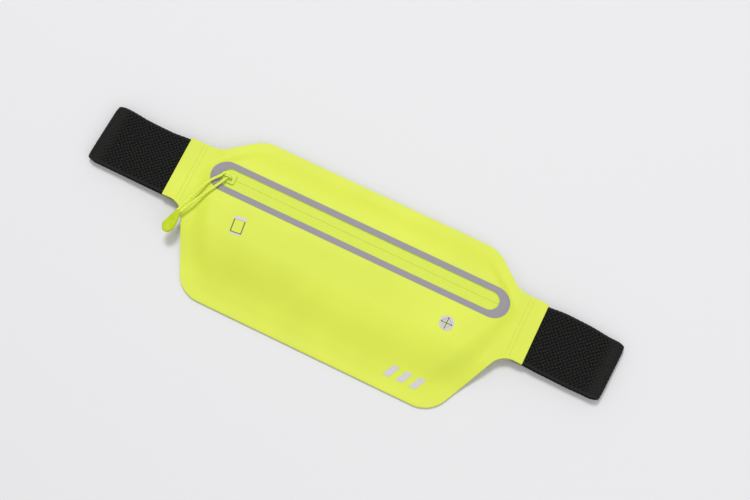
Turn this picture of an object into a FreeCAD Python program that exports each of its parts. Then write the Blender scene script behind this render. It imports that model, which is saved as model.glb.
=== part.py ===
import FreeCAD, Part
import math
import os
import Sketcher

# Slim elastic waist pack, lying face up with both belt straps folded back under it.
# +X runs along the belt, +Y points to the top edge, +Z points out of the front. Millimetres.
# The origin is below the middle of the pack, on the surface it lies on.

Vector = FreeCAD.Vector
UP = Vector(0, 0, 1)
ALONG_Y = Vector(0, 1, 0)

SIZES = [
    # outline of the pack, right half; the left half mirrors it
    ("body_half", 56.4),
    ("top_corner_x", 83.4),
    ("neck_top_x", 106.2),
    ("neck_top_y", 37.3),
    ("wing_end_x", 126.5),
    ("wing_top_y", 37.0),
    ("wing_low_y", -4.8),
    ("neck_low_x", 112.8),
    ("neck_low_y", -4.4),
    ("base_corner_x", 87.7),
    ("top_corner_radius", 21.0),
    ("neck_top_radius", 16.0),
    ("neck_low_radius", 13.0),
    ("base_corner_radius", 20.0),
    # heights of the two fabric panels
    ("fabric", 0.5),
    ("pack_lift", 5.9),
    ("pack_lift_top", 4.0),
    ("pack_lift_base", 0.5),
    ("lift_flat_half", 26.0),
    ("lift_base_run", 32.0),
    ("pocket_depth", 4.2),
    ("edge_gap", 0.3),
    ("wing_gap", 1.6),
    ("wing_gap_start", 100.0),
    ("wing_gap_run", 9.0),
    ("seam_inset", 5.0),
    ("swell_end", 112.5),
    ("swell_end_run", 11.5),
    ("swell_top_run", 17.0),
    ("swell_base_run", 30.0),
    ("swell_shoulder_run", 6.5),
    ("swell_flank_run", 15.0),
    ("bond_film", 0.1),
    ("bond_start", 0.3),
    ("bond_end", 4.0),
    ("bond_half_length", 108.0),
    # belt
    ("belt_y", 16.0),
    ("belt_width", 40.0),
    ("webbing", 1.5),
    ("strap_start_x", 112.0),
    ("seam_run_end_x", 133.0),
    ("slope_end_x", 161.0),
    ("fold_x", 181.0),
    ("fold_height", 3.2),
    ("fold_radius", 2.45),
    ("fold_split", 0.2),
    # zip and the film round its window
    ("zip_x", 0.2),
    ("zip_y", 22.9),
    ("window_half_length", 97.6),
    ("window_half_height", 6.1),
    ("trim_half_length", 104.7),
    ("trim_half_height", 10.1),
    ("tape_half_length", 100.0),
    ("tape_half_height", 8.5),
    ("tape_parting", 0.5),
    ("coil_pitch", 2.0),
    ("coil_thick", 1.25),
    ("coil_start_x", -87.0),
    ("coil_end_x", 96.0),
    ("coil_half", 2.2),
    ("tooth_root", 1.0),
    ("tooth_tip", 0.6),
    ("coil_gap", 0.05),
    ("stop_left_x", -98.4),
    ("stop_right_x", 96.8),
    ("stop_length", 1.8),
    ("film", 0.1),
    ("film_lift", 0.05),
    # slider and pull
    ("slider_x", -95.9),
    ("slider_length", 8.5),
    ("slider_width", 7.0),
    ("slider_plate", 0.9),
    ("slider_wall", 0.75),
    ("slider_depth", 3.0),
    ("slider_floor", 0.8),
    ("slider_lift", 0.13),
    ("slider_wall_height", 1.2),
    ("slider_wall_start", 1.4),
    ("slider_wall_inset", 0.9),
    ("slider_nose_half", 1.5),
    ("slider_nose_run", 1.3),
    ("slider_tail_half", 2.6),
    ("slider_tail_run", 0.8),
    ("slider_post", 0.5),
    ("slider_post_start", 0.4),
    ("slider_post_end", 2.4),
    ("slider_round", 0.25),
    ("bridge_leg_x", -94.3),
    ("bridge_leg_radius", 0.7),
    ("bridge_rear_x", -90.2),
    ("bridge_rear_radius", 0.55),
    ("bridge_bar", 0.8),
    ("bridge_bar_half", 0.8),
    ("bridge_bar_front", 0.8),
    ("bridge_bar_rear", 0.7),
    ("bridge_clear", 1.1),
    ("bridge_leg_sink", 0.4),
    ("cord_diameter", 1.8),
    ("cord_height", 13.0),
    ("pull_angle", -115.0),
    ("pull_reach", 38.6),
    ("grip_overlap", 1.2),
    ("grip_angle", -98.0),
    ("grip_length", 15.8),
    ("grip_width", 8.2),
    ("grip_neck", 3.4),
    ("grip_tip", 3.7),
    ("grip_shoulder", 11.6),
    ("grip_thick", 2.8),
    ("grip_round", 0.45),
    # headphone port and marks on the front
    ("port_x", 73.5),
    ("port_y", -2.1),
    ("port_radius", 4.75),
    ("port_hole_half", 4.0),
    ("petal_half", 3.85),
    ("petal_slit", 0.15),
    ("phone_mark_x", -72.3),
    ("phone_mark_y", -3.0),
    ("phone_mark_turn", 6.5),
    ("phone_mark_half_width", 3.95),
    ("phone_mark_half_height", 6.05),
    ("phone_mark_round", 1.0),
    ("phone_mark_side", 0.8),
    ("phone_mark_top_bar", 2.2),
    ("phone_mark_base_bar", 1.4),
    ("corner_mark_x", 64.0),
    ("corner_mark_y", -43.0),
    ("corner_bar_height", 8.0),
    ("corner_bar_width", 4.5),
    ("corner_bar_slant", 4.0),
    ("corner_bar_step", 9.0),
    # thread
    ("stitch_length", 2.2),
    ("stitch_width", 0.5),
    ("stitch_thick", 0.2),
    ("stitch_lift", 0.04),
    ("stitch_step", 3.0),
    # buckle
    ("buckle_low", 0.1),
    ("buckle_thick", 5.4),
    ("buckle_half", 25.0),
    ("bar_height", 2.8),
    ("bar_radius", 0.8),
    ("wrap_radius", 1.65),
    ("strap_window_half", 20.8),
    ("socket_x", -47.0),
    ("socket_length", 39.0),
    ("socket_bar_x", -44.5),
    ("socket_slot_end", 5.6),
    ("buckle_taper", 1.5),
    ("cut_past", 1.0),
    ("socket_cavity_half", 22.0),
    ("socket_cavity_low", 1.4),
    ("socket_cavity_high", 4.0),
    ("socket_cavity_depth", 31.0),
    ("side_window_start", 14.5),
    ("side_window_end", 29.5),
    ("side_window_clear", 0.3),
    ("plug_x", 20.0),
    ("plug_length", 24.0),
    ("plug_slot_start", 10.6),
    ("plug_bar_x", 35.0),
    ("plug_rear_bar", 3.0),
    ("plug_rear_half", 0.7),
    ("plug_rear_inset", 0.5),
    ("tongue_length", 16.0),
    ("tongue_half", 3.0),
    ("tongue_root", 0.5),
    ("tongue_taper", 2.0),
    ("tongue_tip_half", 1.5),
    ("latch_low", 1.8),
    ("latch_high", 3.6),
    ("latch_reach", 24.0),
    ("latch_root_half", 17.0),
    ("latch_head_half", 24.5),
    ("latch_gap", 0.4),
    ("latch_width", 2.4),
    ("latch_flare", 1.2),
    ("latch_flare_x", 11.0),
    ("latch_hook_x", 11.6),
    ("latch_crotch_x", 12.0),
    ("latch_head_end", 14.5),
    ("latch_nose_drop", 5.0),
    ("buckle_round", 2.0),
    # strap keeper and the strap heights inside it
    ("keeper_x", 71.0),
    ("keeper_width", 8.0),
    ("keeper_wall", 0.6),
    ("keeper_low", 0.1),
    ("keeper_high", 5.15),
    ("keeper_half", 21.3),
    ("keeper_round", 0.5),
    ("lower_run", 0.75),
    ("kept_run", 1.65),
    ("tail_run", 3.4),
    ("tail_rise", 0.01),
    ("hem_gap", 0.05),
    # places along the belt where a strap's runs begin and end, and its bend radii
    ("socket_lift_start", -92.0),
    ("socket_lift_end", -80.0),
    ("left_hem_drop_start", -51.0),
    ("left_hem_drop_end", -59.0),
    ("left_hem_end_x", -74.0),
    ("plug_lift_start", 102.0),
    ("plug_lift_end", 91.0),
    ("plug_drop_start", 61.0),
    ("plug_drop_end", 53.0),
    ("plug_run_end", 46.3),
    ("tail_start_x", 46.0),
    ("tail_drop_start", 47.0),
    ("tail_drop_end", 56.0),
    ("tail_end_x", 105.0),
    ("broad_bend", 40.0),
    ("middle_bend", 20.0),
    ("tail_bend", 6.0),
    ("hem_bend", 4.0),
]

# Places along the belt of the stitched columns.
WING_SEAMS = (114.4, 117.1)
LEFT_HEM_SEAMS = (-66.0, -71.0)
TAIL_HEM_SEAMS = (99.0, 102.5)
STITCHES_PER_SIDE = 6

# Grid steps of the draped layers, and the heights between which their outlines are cut.
BROAD_GRID = 4.0
FRONT_GRID = 2.5
FILM_GRID = 2.0
PORT_GRID = 1.5
GRID_MARGIN = 2.0
CUT_FROM, CUT_TO = -5.0, 25.0

doc = FreeCAD.newDocument("WaistPack")
sheet = doc.addObject("Spreadsheet::Sheet", "Sizes")
nodes = []


def fill_sheet():
    for row, (alias, value) in enumerate(SIZES, start=1):
        sheet.set("A%d" % row, alias)
        sheet.set("B%d" % row, repr(value))
        sheet.setAlias("B%d" % row, alias)
    doc.recompute()


def size(alias):
    return float(getattr(sheet, alias))


def value_of(expression):
    return float(sheet.evalExpression(expression))


def keep(thing, label):
    thing.Label = label
    nodes.append(thing)
    return thing


def feature(label, shape):
    """A sub-part whose shape is made directly from the sheet's sizes."""
    thing = doc.addObject("Part::Feature", label.title().replace("_", ""))
    place = shape.Placement
    thing.Shape = shape
    thing.Placement = place
    return keep(thing, label)


# ---------------------------------------------------------------- PartDesign helpers

def new_body(label, x, y, z, angle=0.0):
    body = doc.addObject("PartDesign::Body", label.title().replace("_", ""))
    turn = FreeCAD.Rotation(UP, angle)
    body.Placement = FreeCAD.Placement(Vector(0, 0, 0), turn)
    body.setExpression("Placement.Base.x", x)
    body.setExpression("Placement.Base.y", y)
    body.setExpression("Placement.Base.z", z)
    return keep(body, label)


def new_sketch(body, name, role, lift="0"):
    sketch = body.newObject("Sketcher::SketchObject", name)
    plane = [part for part in body.Origin.OriginFeatures if part.Role == role][0]
    sketch.AttachmentSupport = [(plane, "")]
    sketch.MapMode = "FlatFace"
    sketch.setExpression("AttachmentOffset.Base.z", lift)
    return sketch


def add_polygon(sketch, corners):
    """Adds a closed polygon whose corners are held at sheet expressions."""
    first = sketch.GeometryCount
    count = len(corners)
    spots = [Vector(value_of(across), value_of(along), 0) for across, along in corners]
    for index in range(count):
        following = (index + 1) % count
        sketch.addGeometry(Part.LineSegment(spots[index], spots[following]), False)
    for index in range(count):
        following = first + (index + 1) % count
        sketch.addConstraint(Sketcher.Constraint("Coincident", first + index, 2, following, 1))
    for index, (across, along) in enumerate(corners):
        for kind, text in (("DistanceX", across), ("DistanceY", along)):
            rule = Sketcher.Constraint(kind, -1, 1, first + index, 1, value_of(text))
            place = sketch.addConstraint(rule)
            sketch.setExpression("Constraints[%d]" % place, text)


def add_circle(sketch, across, along, radius):
    spot = Vector(value_of(across), value_of(along), 0)
    index = sketch.addGeometry(Part.Circle(spot, UP, value_of(radius)), False)
    for kind, text in (("DistanceX", across), ("DistanceY", along)):
        place = sketch.addConstraint(Sketcher.Constraint(kind, -1, 1, index, 3, value_of(text)))
        sketch.setExpression("Constraints[%d]" % place, text)
    place = sketch.addConstraint(Sketcher.Constraint("Radius", index, value_of(radius)))
    sketch.setExpression("Constraints[%d]" % place, radius)


def rectangle(x_low, x_high, y_low, y_high):
    return [(x_low, y_low), (x_high, y_low), (x_high, y_high), (x_low, y_high)]


def pad(body, sketch, length, both_ways=False, backwards=False):
    doc.recompute()
    before = 0.0 if body.Shape.isNull() else body.Shape.Volume
    step = body.newObject("PartDesign::Pad", sketch.Name + "Pad")
    step.Profile = sketch
    step.setExpression("Length", length)
    step.Midplane = both_ways
    step.Reversed = backwards
    doc.recompute()
    if body.Shape.Volume <= before:
        raise RuntimeError(step.Name + " added nothing")
    return step


def pocket(body, sketch, length, both_ways=False, backwards=False):
    doc.recompute()
    before = body.Shape.Volume
    step = body.newObject("PartDesign::Pocket", sketch.Name + "Pocket")
    step.Profile = sketch
    step.setExpression("Length", length)
    step.Midplane = both_ways
    step.Reversed = backwards
    doc.recompute()
    if body.Shape.Volume >= before:
        raise RuntimeError(step.Name + " cut nothing")
    return step


def round_edges(body, base, radius, chosen):
    """Fillets the edges of the last feature for which chosen(edge) is true."""
    doc.recompute()
    names = ["Edge%d" % number for number, edge in enumerate(base.Shape.Edges, start=1) if chosen(edge)]
    step = body.newObject("PartDesign::Fillet", base.Name + "Round")
    step.Base = (base, names)
    step.setExpression("Radius", radius)
    doc.recompute()
    return step


def is_upright(edge):
    low, high = edge.BoundBox.ZMin, edge.BoundBox.ZMax
    return high - low > 1.0 and edge.BoundBox.XLength < 0.01 and edge.BoundBox.YLength < 0.01


# ---------------------------------------------------------------- flat outlines

def rounded_loop(corners):
    """A closed face from (point, radius) corners: straight sides and tangent arcs."""
    count = len(corners)
    pieces = []
    ends = []
    for index, (corner, radius) in enumerate(corners):
        before = corners[index - 1][0]
        after = corners[(index + 1) % count][0]
        ends.append(corner_arc(before, corner, after, radius))
    for index in range(count):
        start, middle, stop = ends[index]
        if middle is not None:
            pieces.append(Part.Arc(start, middle, stop).toShape())
        following = ends[(index + 1) % count][0]
        if stop.distanceToPoint(following) > 1e-6:
            pieces.append(Part.LineSegment(stop, following).toShape())
    return Part.Face(Part.Wire(pieces))


def corner_arc(before, corner, after, radius):
    """Start, middle and end of the tangent arc at a corner; middle is None when sharp."""
    if radius <= 0.0:
        return corner, None, corner
    to_before = (before - corner).normalize()
    to_after = (after - corner).normalize()
    half_angle = 0.5 * math.acos(max(-1.0, min(1.0, to_before.dot(to_after))))
    reach = radius / math.tan(half_angle)
    inward = (to_before + to_after).normalize()
    centre = corner + inward * (radius / math.sin(half_angle))
    middle = centre - inward * radius
    return corner + to_before * reach, middle, corner + to_after * reach


def pack_corners():
    """Right half from the top to the base, then the mirrored left half."""
    half = size("body_half")
    right = [
        (Vector(size("top_corner_x"), half, 0), size("top_corner_radius")),
        (Vector(size("neck_top_x"), size("neck_top_y"), 0), size("neck_top_radius")),
        (Vector(size("wing_end_x"), size("wing_top_y"), 0), 0.0),
        (Vector(size("wing_end_x"), size("wing_low_y"), 0), 0.0),
        (Vector(size("neck_low_x"), size("neck_low_y"), 0), size("neck_low_radius")),
        (Vector(size("base_corner_x"), -half, 0), size("base_corner_radius")),
    ]
    left = [(Vector(-spot.x, spot.y, 0), radius) for spot, radius in reversed(right)]
    return right + left


def stadium(half_length, half_height):
    """A slot-shaped face centred on the zip."""
    middle_x, middle_y = size("zip_x"), size("zip_y")
    left, right = middle_x - half_length, middle_x + half_length
    low, high = middle_y - half_height, middle_y + half_height
    flat = half_length - half_height
    upper = Part.LineSegment(Vector(middle_x - flat, high, 0), Vector(middle_x + flat, high, 0))
    lower = Part.LineSegment(Vector(middle_x + flat, low, 0), Vector(middle_x - flat, low, 0))
    end_right = Part.Arc(upper.EndPoint, Vector(right, middle_y, 0), lower.StartPoint)
    end_left = Part.Arc(lower.EndPoint, Vector(left, middle_y, 0), upper.StartPoint)
    return Part.Face(Part.Wire([part.toShape() for part in (upper, end_right, lower, end_left)]))


def polygon_face(points):
    spots = [Vector(across, along, 0) for across, along in points]
    return Part.Face(Part.makePolygon(spots + spots[:1]))


def column(face, low, high):
    """The upright prism over a flat face between two heights."""
    prism = face.extrude(UP * (high - low))
    prism.translate(UP * low)
    return prism


# ---------------------------------------------------------------- panel heights

def smooth(share):
    share = min(max(share, 0.0), 1.0)
    return share * share * (3.0 - 2.0 * share)


def back_under(x, y):
    """Height of the back panel's underside: level over the belt, lower at the edges."""
    from_belt = y - size("belt_y")
    flat = size("lift_flat_half")
    top_run = size("body_half") - size("belt_y") - flat
    height = size("pack_lift")
    if from_belt > flat:
        return height - (height - size("pack_lift_top")) * smooth((from_belt - flat) / top_run)
    return height - (height - size("pack_lift_base")) * smooth((-from_belt - flat) / size("lift_base_run"))


def inside_line(x, y, start, end):
    """Distance of a point inside the line from start to end, the pack lying on its left."""
    run = Vector(end[0] - start[0], end[1] - start[1], 0).normalize()
    return run.x * (y - start[1]) - run.y * (x - start[0])


def pocket_gap(x, y):
    """Gap between the two panels: thin at the bonded edge, full in the middle."""
    across = abs(x)
    half = size("body_half")
    inset = size("seam_inset")
    wing_share = smooth((across - size("wing_gap_start")) / size("wing_gap_run"))
    edge = size("edge_gap") + (size("wing_gap") - size("edge_gap")) * wing_share
    neck_top = (size("neck_top_x"), size("neck_top_y"))
    neck_low = (size("neck_low_x"), size("neck_low_y"))
    shoulder = inside_line(across, y, neck_top, (size("top_corner_x"), half))
    flank = inside_line(across, y, (size("base_corner_x"), -half), neck_low)
    swell = smooth((size("swell_end") - across) / size("swell_end_run"))
    swell *= smooth((half - inset - y) / size("swell_top_run"))
    swell *= smooth((half - inset + y) / size("swell_base_run"))
    swell *= smooth((shoulder - inset) / size("swell_shoulder_run"))
    swell *= smooth((flank - inset) / size("swell_flank_run"))
    return edge + (size("pocket_depth") - edge) * swell


def front_under(x, y):
    return back_under(x, y) + size("fabric") + pocket_gap(x, y)


def front_top(x, y):
    return front_under(x, y) + size("fabric")


def zip_level():
    """Underside of the front panel over the full pocket, where the zip hangs."""
    return size("pack_lift") + size("fabric") + size("pocket_depth")


def draped(face, height, raised, thick, step):
    """A layer of even upright thickness that follows a height and fills a flat face."""
    box = face.BoundBox
    long, wide = box.XLength + 2.0 * GRID_MARGIN, box.YLength + 2.0 * GRID_MARGIN
    columns = int(math.ceil(long / step))
    rows = int(math.ceil(wide / step))
    grid = []
    for column_index in range(columns + 1):
        x = box.XMin - GRID_MARGIN + long * column_index / columns
        line = []
        for row_index in range(rows + 1):
            y = box.YMin - GRID_MARGIN + wide * row_index / rows
            line.append(Vector(x, y, height(x, y) + raised))
        grid.append(line)
    surface = Part.BSplineSurface()
    surface.interpolate(grid)
    slab = surface.toShape().extrude(UP * thick)
    return slab.common(column(face, CUT_FROM, CUT_TO))


# ---------------------------------------------------------------- pack panels and films

def make_panels():
    outline = rounded_loop(pack_corners())
    window = stadium(size("window_half_length"), size("window_half_height"))
    half = size("port_hole_half")
    hole_x, hole_y = size("port_x"), size("port_y")
    hole = polygon_face([(hole_x + half, hole_y), (hole_x, hole_y + half),
                         (hole_x - half, hole_y), (hole_x, hole_y - half)])
    front = outline.cut(window).cut(hole).Faces[0]
    feature("front_panel", draped(front, front_under, 0.0, size("fabric"), FRONT_GRID))
    feature("back_panel", draped(outline, back_under, 0.0, size("fabric"), BROAD_GRID))


def make_perimeter_bond():
    outline = rounded_loop(pack_corners())
    outer = outline.makeOffset2D(-size("bond_start"))
    inner = outline.makeOffset2D(-size("bond_end"))
    reach, half = size("bond_half_length"), size("body_half")
    middle = Part.makePlane(2.0 * reach, 2.0 * half, Vector(-reach, -half, 0))
    ring = outer.cut(inner).common(middle)
    raised = size("fabric") + 0.5 * (size("edge_gap") - size("bond_film"))
    strips = [draped(face, back_under, raised, size("bond_film"), BROAD_GRID) for face in ring.Faces]
    feature("perimeter_bond", Part.makeCompound(strips))


def make_front_films():
    """Reflective ring round the zip window and the printed films, all on the front."""
    outer = stadium(size("trim_half_length"), size("trim_half_height"))
    ring = outer.cut(stadium(size("window_half_length"), size("window_half_height"))).Faces[0]
    feature("reflective_trim", film_on_front(ring, FRONT_GRID))
    feature("phone_mark", film_on_front(phone_outline(), FILM_GRID))
    feature("corner_mark", Part.makeCompound([film_on_front(bar, FILM_GRID) for bar in corner_bars()]))


def film_on_front(face, step):
    return draped(face, front_top, size("film_lift"), size("film"), step)


def phone_mark_point(across, along):
    """A point of the phone mark, which sits slightly turned on the panel."""
    angle = math.radians(size("phone_mark_turn"))
    x = size("phone_mark_x") + across * math.cos(angle) - along * math.sin(angle)
    y = size("phone_mark_y") + across * math.sin(angle) + along * math.cos(angle)
    return Vector(x, y, 0)


def phone_outline():
    """Outline of a phone: thin sides, a deep bar at the top and a shallower one at the base."""
    wide, high = size("phone_mark_half_width"), size("phone_mark_half_height")
    turn = size("phone_mark_round")
    outer = rounded_loop([(phone_mark_point(side_x * wide, side_y * high), turn)
                          for side_x, side_y in ((1, 1), (1, -1), (-1, -1), (-1, 1))])
    inner = wide - size("phone_mark_side")
    top, base = high - size("phone_mark_top_bar"), size("phone_mark_base_bar") - high
    screen = [phone_mark_point(across, along)
              for across, along in ((-inner, base), (inner, base), (inner, top), (-inner, top))]
    return outer.cut(polygon_face([(spot.x, spot.y) for spot in screen])).Faces[0]


def corner_bars():
    """Three plain slanted bars."""
    wide, high = size("corner_bar_width"), size("corner_bar_height")
    slant, step = size("corner_bar_slant"), size("corner_bar_step")
    base = size("corner_mark_y") - 0.5 * high
    faces = []
    for index in range(3):
        left = size("corner_mark_x") - 0.5 * (2.0 * step + wide + slant) + step * index
        faces.append(polygon_face([(left, base), (left + wide, base),
                                   (left + wide + slant, base + high), (left + slant, base + high)]))
    return faces


# ---------------------------------------------------------------- headphone port

def make_port():
    port_x, port_y = size("port_x"), size("port_y")
    disc = Part.Face(Part.Wire([Part.Circle(Vector(port_x, port_y, 0), UP, size("port_radius")).toShape()]))
    half = size("port_hole_half")
    hole = polygon_face([(port_x + half, port_y), (port_x, port_y + half),
                         (port_x - half, port_y), (port_x, port_y - half)])
    feature("port_ring", film_on_front(disc.cut(hole).Faces[0], PORT_GRID))
    for index in range(4):
        make_petal(index)


def make_petal(index):
    """One of four triangular petals that close the port; each is hinged at its outer edge."""
    body = new_body("port_petal_%d" % (index + 1), "Sizes.port_x", "Sizes.port_y",
                    "Sizes.pack_lift + Sizes.fabric + Sizes.pocket_depth", 90.0 * index)
    sketch = new_sketch(body, "Petal%d" % (index + 1), "XY_Plane")
    corner = "Sizes.petal_half - Sizes.petal_slit"
    add_polygon(sketch, [("Sizes.petal_slit", "Sizes.petal_slit"),
                         (corner, "Sizes.petal_slit"),
                         ("Sizes.petal_slit", corner)])
    pad(body, sketch, "Sizes.fabric")


# ---------------------------------------------------------------- zip

def make_zip_tapes():
    level = zip_level()
    whole = stadium(size("tape_half_length"), size("tape_half_height"))
    window = stadium(size("window_half_length"), size("window_half_height"))
    film = size("bond_film")
    feature("zip_bond_film", column(whole.cut(window).Faces[0], level - 0.01 - film, level - 0.01))
    reach = size("tape_half_length") + 5.0
    for label, side in (("zip_tape_upper", 1.0), ("zip_tape_lower", -1.0)):
        parting = size("zip_y") + side * size("tape_parting")
        edge = parting if side > 0 else parting - 20.0
        half_plane = Part.makePlane(2.0 * reach, 20.0, Vector(size("zip_x") - reach, edge, 0))
        tape = whole.common(half_plane).Faces[0]
        top = level - 0.02 - film
        feature(label, column(tape, top - size("fabric"), top))


def make_coils():
    """Two combs of teeth, half a pitch apart, that mesh across the middle of the zip."""
    pitch = size("coil_pitch")
    tooth = 0.4 * pitch
    top = zip_level() - 0.02 - size("bond_film") - size("fabric") - size("coil_gap")
    half, root, tip = size("coil_half"), size("tooth_root"), size("tooth_tip")
    start, end = size("coil_start_x"), size("coil_end_x")
    count = int((end - start) / pitch)
    for label, side, shift in (("zip_coil_upper", 1.0, 0.0), ("zip_coil_lower", -1.0, 0.5 * pitch)):
        points = []
        for index in range(count):
            left = start + shift + pitch * index
            points += [(left, root), (left, -tip), (left + tooth, -tip), (left + tooth, root)]
        rail_end = start + shift + pitch * count
        points += [(rail_end, root), (rail_end, half), (start + shift, half)]
        comb = polygon_face([(x, size("zip_y") + side * y) for x, y in points])
        feature(label, column(comb, top - size("coil_thick"), top))


def make_end_stops():
    """One stop at each end of the coil, clamped across both tapes."""
    stops = []
    for name, place in (("StopLeft", "stop_left_x"), ("StopRight", "stop_right_x")):
        stop = doc.addObject("Part::Box", name)
        stop.setExpression("Length", "Sizes.stop_length")
        stop.setExpression("Width", "2 * Sizes.coil_half")
        stop.setExpression("Height", "Sizes.coil_thick")
        stop.setExpression("Placement.Base.x", "Sizes." + place)
        stop.setExpression("Placement.Base.y", "Sizes.zip_y - Sizes.coil_half")
        stop.setExpression("Placement.Base.z", "Sizes.pack_lift + Sizes.pocket_depth - 0.02"
                                               " - Sizes.coil_gap - Sizes.bond_film - Sizes.coil_thick")
        stops.append(stop)
    group = doc.addObject("Part::Compound", "EndStops")
    group.Links = stops
    keep(group, "zip_end_stops")


def make_slider():
    """Two plates joined by a post at the nose, with walls that guide the coil."""
    level = "Sizes.pack_lift + Sizes.fabric + Sizes.pocket_depth"
    body = new_body("slider_body", "Sizes.slider_x", "Sizes.zip_y", level)
    half = "Sizes.slider_width / 2"
    plan = slider_plan(half)
    lower = new_sketch(body, "SliderLower", "XY_Plane", "-Sizes.slider_depth")
    add_polygon(lower, plan)
    pad(body, lower, "Sizes.slider_floor")
    channel = "Sizes.slider_floor - Sizes.slider_depth"
    post = new_sketch(body, "SliderPost", "XY_Plane", channel)
    add_polygon(post, rectangle("Sizes.slider_post_start", "Sizes.slider_post_end",
                                "-Sizes.slider_post / 2", "Sizes.slider_post / 2"))
    pad(body, post, "Sizes.slider_lift - (" + channel + ")")
    walls = new_sketch(body, "SliderWalls", "XY_Plane", channel)
    inner = half + " - Sizes.slider_wall"
    start, end = "Sizes.slider_wall_start", "Sizes.slider_length - Sizes.slider_wall_inset"
    add_polygon(walls, rectangle(start, end, inner, half))
    add_polygon(walls, rectangle(start, end, "-" + half, "-(" + inner + ")"))
    pad(body, walls, "Sizes.slider_wall_height")
    upper = new_sketch(body, "SliderUpper", "XY_Plane", "Sizes.slider_lift")
    add_polygon(upper, plan)
    top = pad(body, upper, "Sizes.slider_plate")
    height = top.Shape.BoundBox.ZMax
    round_edges(body, top, "Sizes.slider_round", lambda edge: on_plate_top(edge, height))


def slider_plan(half):
    """Outline of a slider plate: a narrow nose and a slightly drawn-in tail."""
    tail_start = "Sizes.slider_length - Sizes.slider_tail_run"
    return [("0", "-Sizes.slider_nose_half"), ("Sizes.slider_nose_run", "-" + half),
            (tail_start, "-" + half), ("Sizes.slider_length", "-Sizes.slider_tail_half"),
            ("Sizes.slider_length", "Sizes.slider_tail_half"), (tail_start, half),
            ("Sizes.slider_nose_run", half), ("0", "Sizes.slider_nose_half")]


def on_plate_top(edge, height):
    return edge.BoundBox.ZMin > height - 0.01


def make_bridge():
    """The bridge on the slider: a round front leg for the cord, a bar and a rear leg."""
    base = "(Sizes.pack_lift + Sizes.fabric + Sizes.pocket_depth + Sizes.slider_lift + Sizes.slider_plate)"
    bar_low = "Sizes.cord_height + Sizes.bridge_clear"
    legs = []
    for name, place, radius in (("FrontLeg", "bridge_leg_x", "bridge_leg_radius"),
                                ("RearLeg", "bridge_rear_x", "bridge_rear_radius")):
        leg = doc.addObject("Part::Cylinder", name)
        leg.setExpression("Radius", "Sizes." + radius)
        leg.setExpression("Placement.Base.x", "Sizes." + place)
        leg.setExpression("Placement.Base.y", "Sizes.zip_y")
        leg.setExpression("Placement.Base.z", base)
        leg.setExpression("Height", bar_low + " + Sizes.bridge_leg_sink - " + base)
        legs.append(leg)
    bar = doc.addObject("Part::Box", "BridgeBar")
    bar.setExpression("Length", "Sizes.bridge_rear_x - Sizes.bridge_leg_x"
                                " + Sizes.bridge_bar_front + Sizes.bridge_bar_rear")
    bar.setExpression("Width", "2 * Sizes.bridge_bar_half")
    bar.setExpression("Height", "Sizes.bridge_bar")
    bar.setExpression("Placement.Base.x", "Sizes.bridge_leg_x - Sizes.bridge_bar_front")
    bar.setExpression("Placement.Base.y", "Sizes.zip_y - Sizes.bridge_bar_half")
    bar.setExpression("Placement.Base.z", bar_low)
    bridge = doc.addObject("Part::MultiFuse", "SliderBridge")
    bridge.Shapes = legs + [bar]
    keep(bridge, "slider_bridge")


# ---------------------------------------------------------------- pull cord and grip

# Route of the doubled cord, (along the pull, across it) from the slider's front leg.
LOOP_ROUTE = [(2.0, -1.85), (-1.85, -1.85), (-1.85, 1.85), (2.0, 1.85)]
STRAND_ROUTES = {
    "left": [(3.0, -1.85), (9.5, -3.9), (19.0, -3.2), (28.5, -2.0), (38.6, -0.95)],
    "right": [(3.0, 1.85), (11.5, 1.5), (21.0, 1.0), (30.0, 0.95), (38.6, 0.95)],
}


def pull_point(along, across):
    """A point of the pull's own plane, in the pack's frame."""
    angle = math.radians(size("pull_angle"))
    x = size("bridge_leg_x") + along * math.cos(angle) - across * math.sin(angle)
    y = size("zip_y") + along * math.sin(angle) + across * math.cos(angle)
    return Vector(x, y, size("cord_height"))


def tube(route, name, round_start=False):
    """A cord along straight runs joined by tangent arcs, as wide as each pair of runs allows."""
    points = [pull_point(along, across) for along, across in route]
    edges = []
    reached = points[0]
    radii = []
    for index in range(1, len(points) - 1):
        before, corner, after = points[index - 1:index + 2]
        first_run = corner - before
        next_run = after - corner
        turn = first_run.getAngle(next_run)
        shorter = min(first_run.Length, next_run.Length)
        radius = 0.45 * shorter / math.tan(0.5 * turn)
        start, middle, stop = corner_arc(before, corner, after, radius)
        edges.append(Part.LineSegment(reached, start).toShape())
        edges.append(Part.Arc(start, middle, stop).toShape())
        reached = stop
        radii.append(round(radius, 2))
    edges.append(Part.LineSegment(reached, points[-1]).toShape())
    path = Part.Wire(edges)
    radius = 0.5 * size("cord_diameter")
    ring = Part.Circle(points[0], points[1] - points[0], radius)
    section = Part.Wire([ring.toShape()])
    solid = path.makePipeShell([section], True, False)
    share = solid.Volume / (math.pi * radius ** 2 * path.Length)
    print("cord %s: length %.2f mm, arc radii %s, volume share %.4f" % (name, path.Length, radii, share))
    if round_start:
        solid = solid.fuse(Part.makeSphere(radius, points[0]))
    return solid.removeSplitter()


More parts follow.
